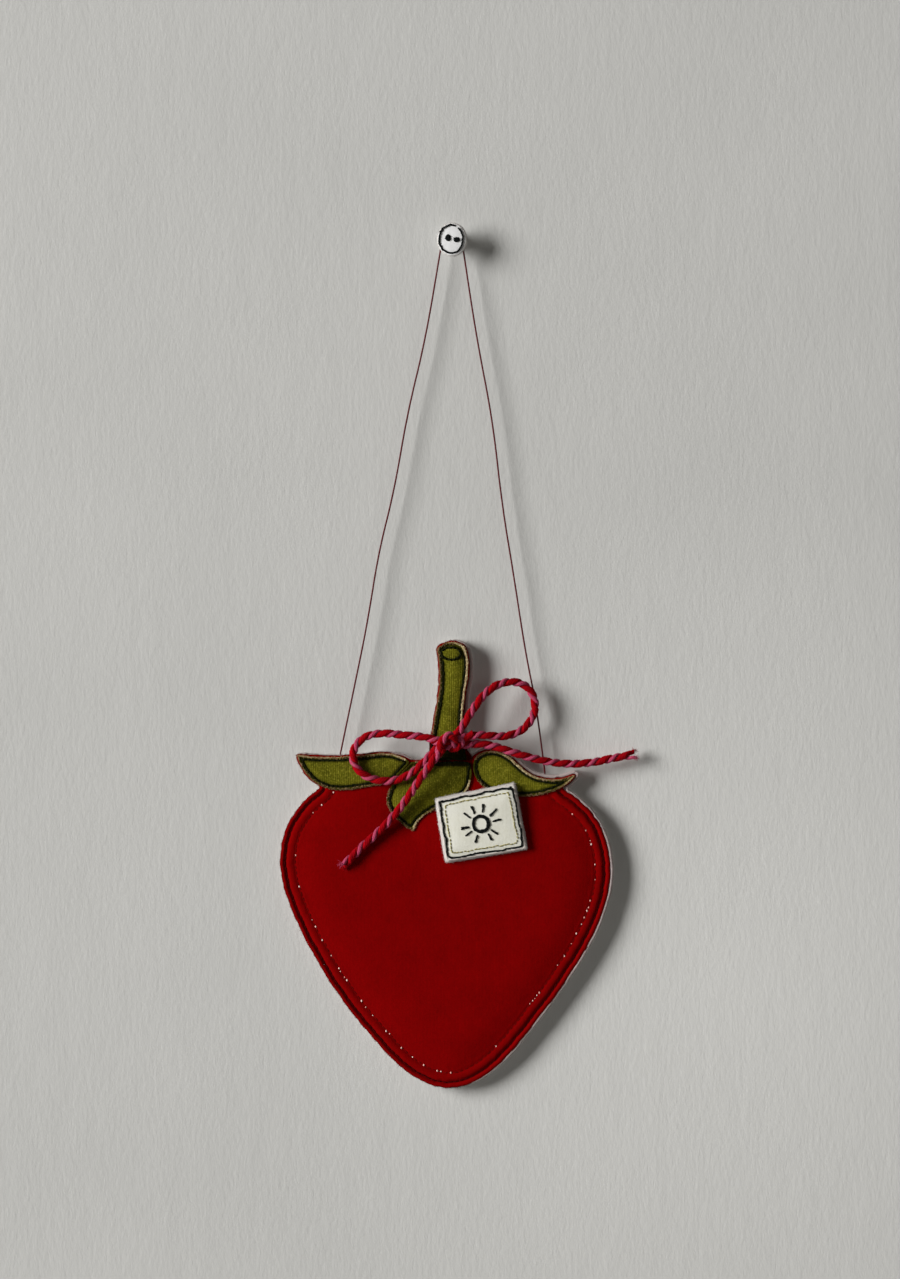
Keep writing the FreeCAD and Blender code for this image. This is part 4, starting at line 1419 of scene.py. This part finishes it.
def lights():
    for name, (way, wide, high, power, colour) in LIGHTS.items():
        light = bpy.data.lights.new(name, "AREA")
        light.shape = "ELLIPSE"
        light.size = wide
        light.size_y = high
        light.energy = power
        light.color = colour
        light.spread = math.radians(LIGHT_SPREAD)
        made = added(name, light)
        made.location = VIEW_CENTRE + Vector(way)
        made.rotation_euler = (VIEW_CENTRE - made.location).to_track_quat("-Z", "Y").to_euler()
    world = bpy.data.worlds.new("room")
    world.use_nodes = True
    background = world.node_tree.nodes["Background"]
    background.inputs["Color"].default_value = paint(1.0, 0.97, 0.91)
    background.inputs["Strength"].default_value = ROOM_GLOW
    bpy.context.scene.world = world


def camera():
    data = bpy.data.cameras.new("camera")
    data.lens = LENS
    data.sensor_width = SENSOR
    made = added("camera", data)
    away = VIEW_HEIGHT * LENS / SENSOR
    made.location = VIEW_CENTRE + Vector((0, -away, 0))
    made.rotation_euler = (math.radians(90), 0, 0)
    data.clip_end = FAR_CLIP
    bpy.context.scene.camera = made


def strawberry():
    patches = [patch(name, LEAF_PATCH, LEAF_INSET, LEAF_LIFT) for name, _ in LEAVES]
    patch_loops = [sheet["loop"] for sheet in patches]
    quilt_sheet = quilt(patch_loops)
    small = (("stem_end_patch", STEM_END_INSET, STEM_END_LIFT), ("tag_fabric", TAG_INSET, TAG_LIFT),
             ("button_fabric", BUTTON_INSET, BUTTON_LIFT))
    end_sheet, tag_sheet, button_sheet = [patch(name, PATCHES[name], inset, lift)
                                          for name, inset, lift in small]
    padded_sheets(patches + [quilt_sheet, end_sheet, tag_sheet, button_sheet])
    felt_layer("felt_back", "back_felt", 0.6 * MM, 2.2 * MM, 0.15 * MM, WHITE_FELT, "white_felt",
               "strawberry", back=FELT_BACK)
    berry_solid = berry(quilt_sheet)
    wadding_layer(berry_solid)
    berry_stitching(surface_of(berry_solid), quilt_sheet["loop"], patch_loops)
    stem_solid = leaves({sheet["name"]: sheet for sheet in patches}, end_sheet["loop"])
    stem_end(end_sheet, stem_solid)
    tag(tag_sheet)
    button(button_sheet)


camera()
hanging_thread()
bow()
strawberry()
finish_cad_pieces()
stage()
lights()
bpy.context.scene.view_settings.view_transform = "Standard"
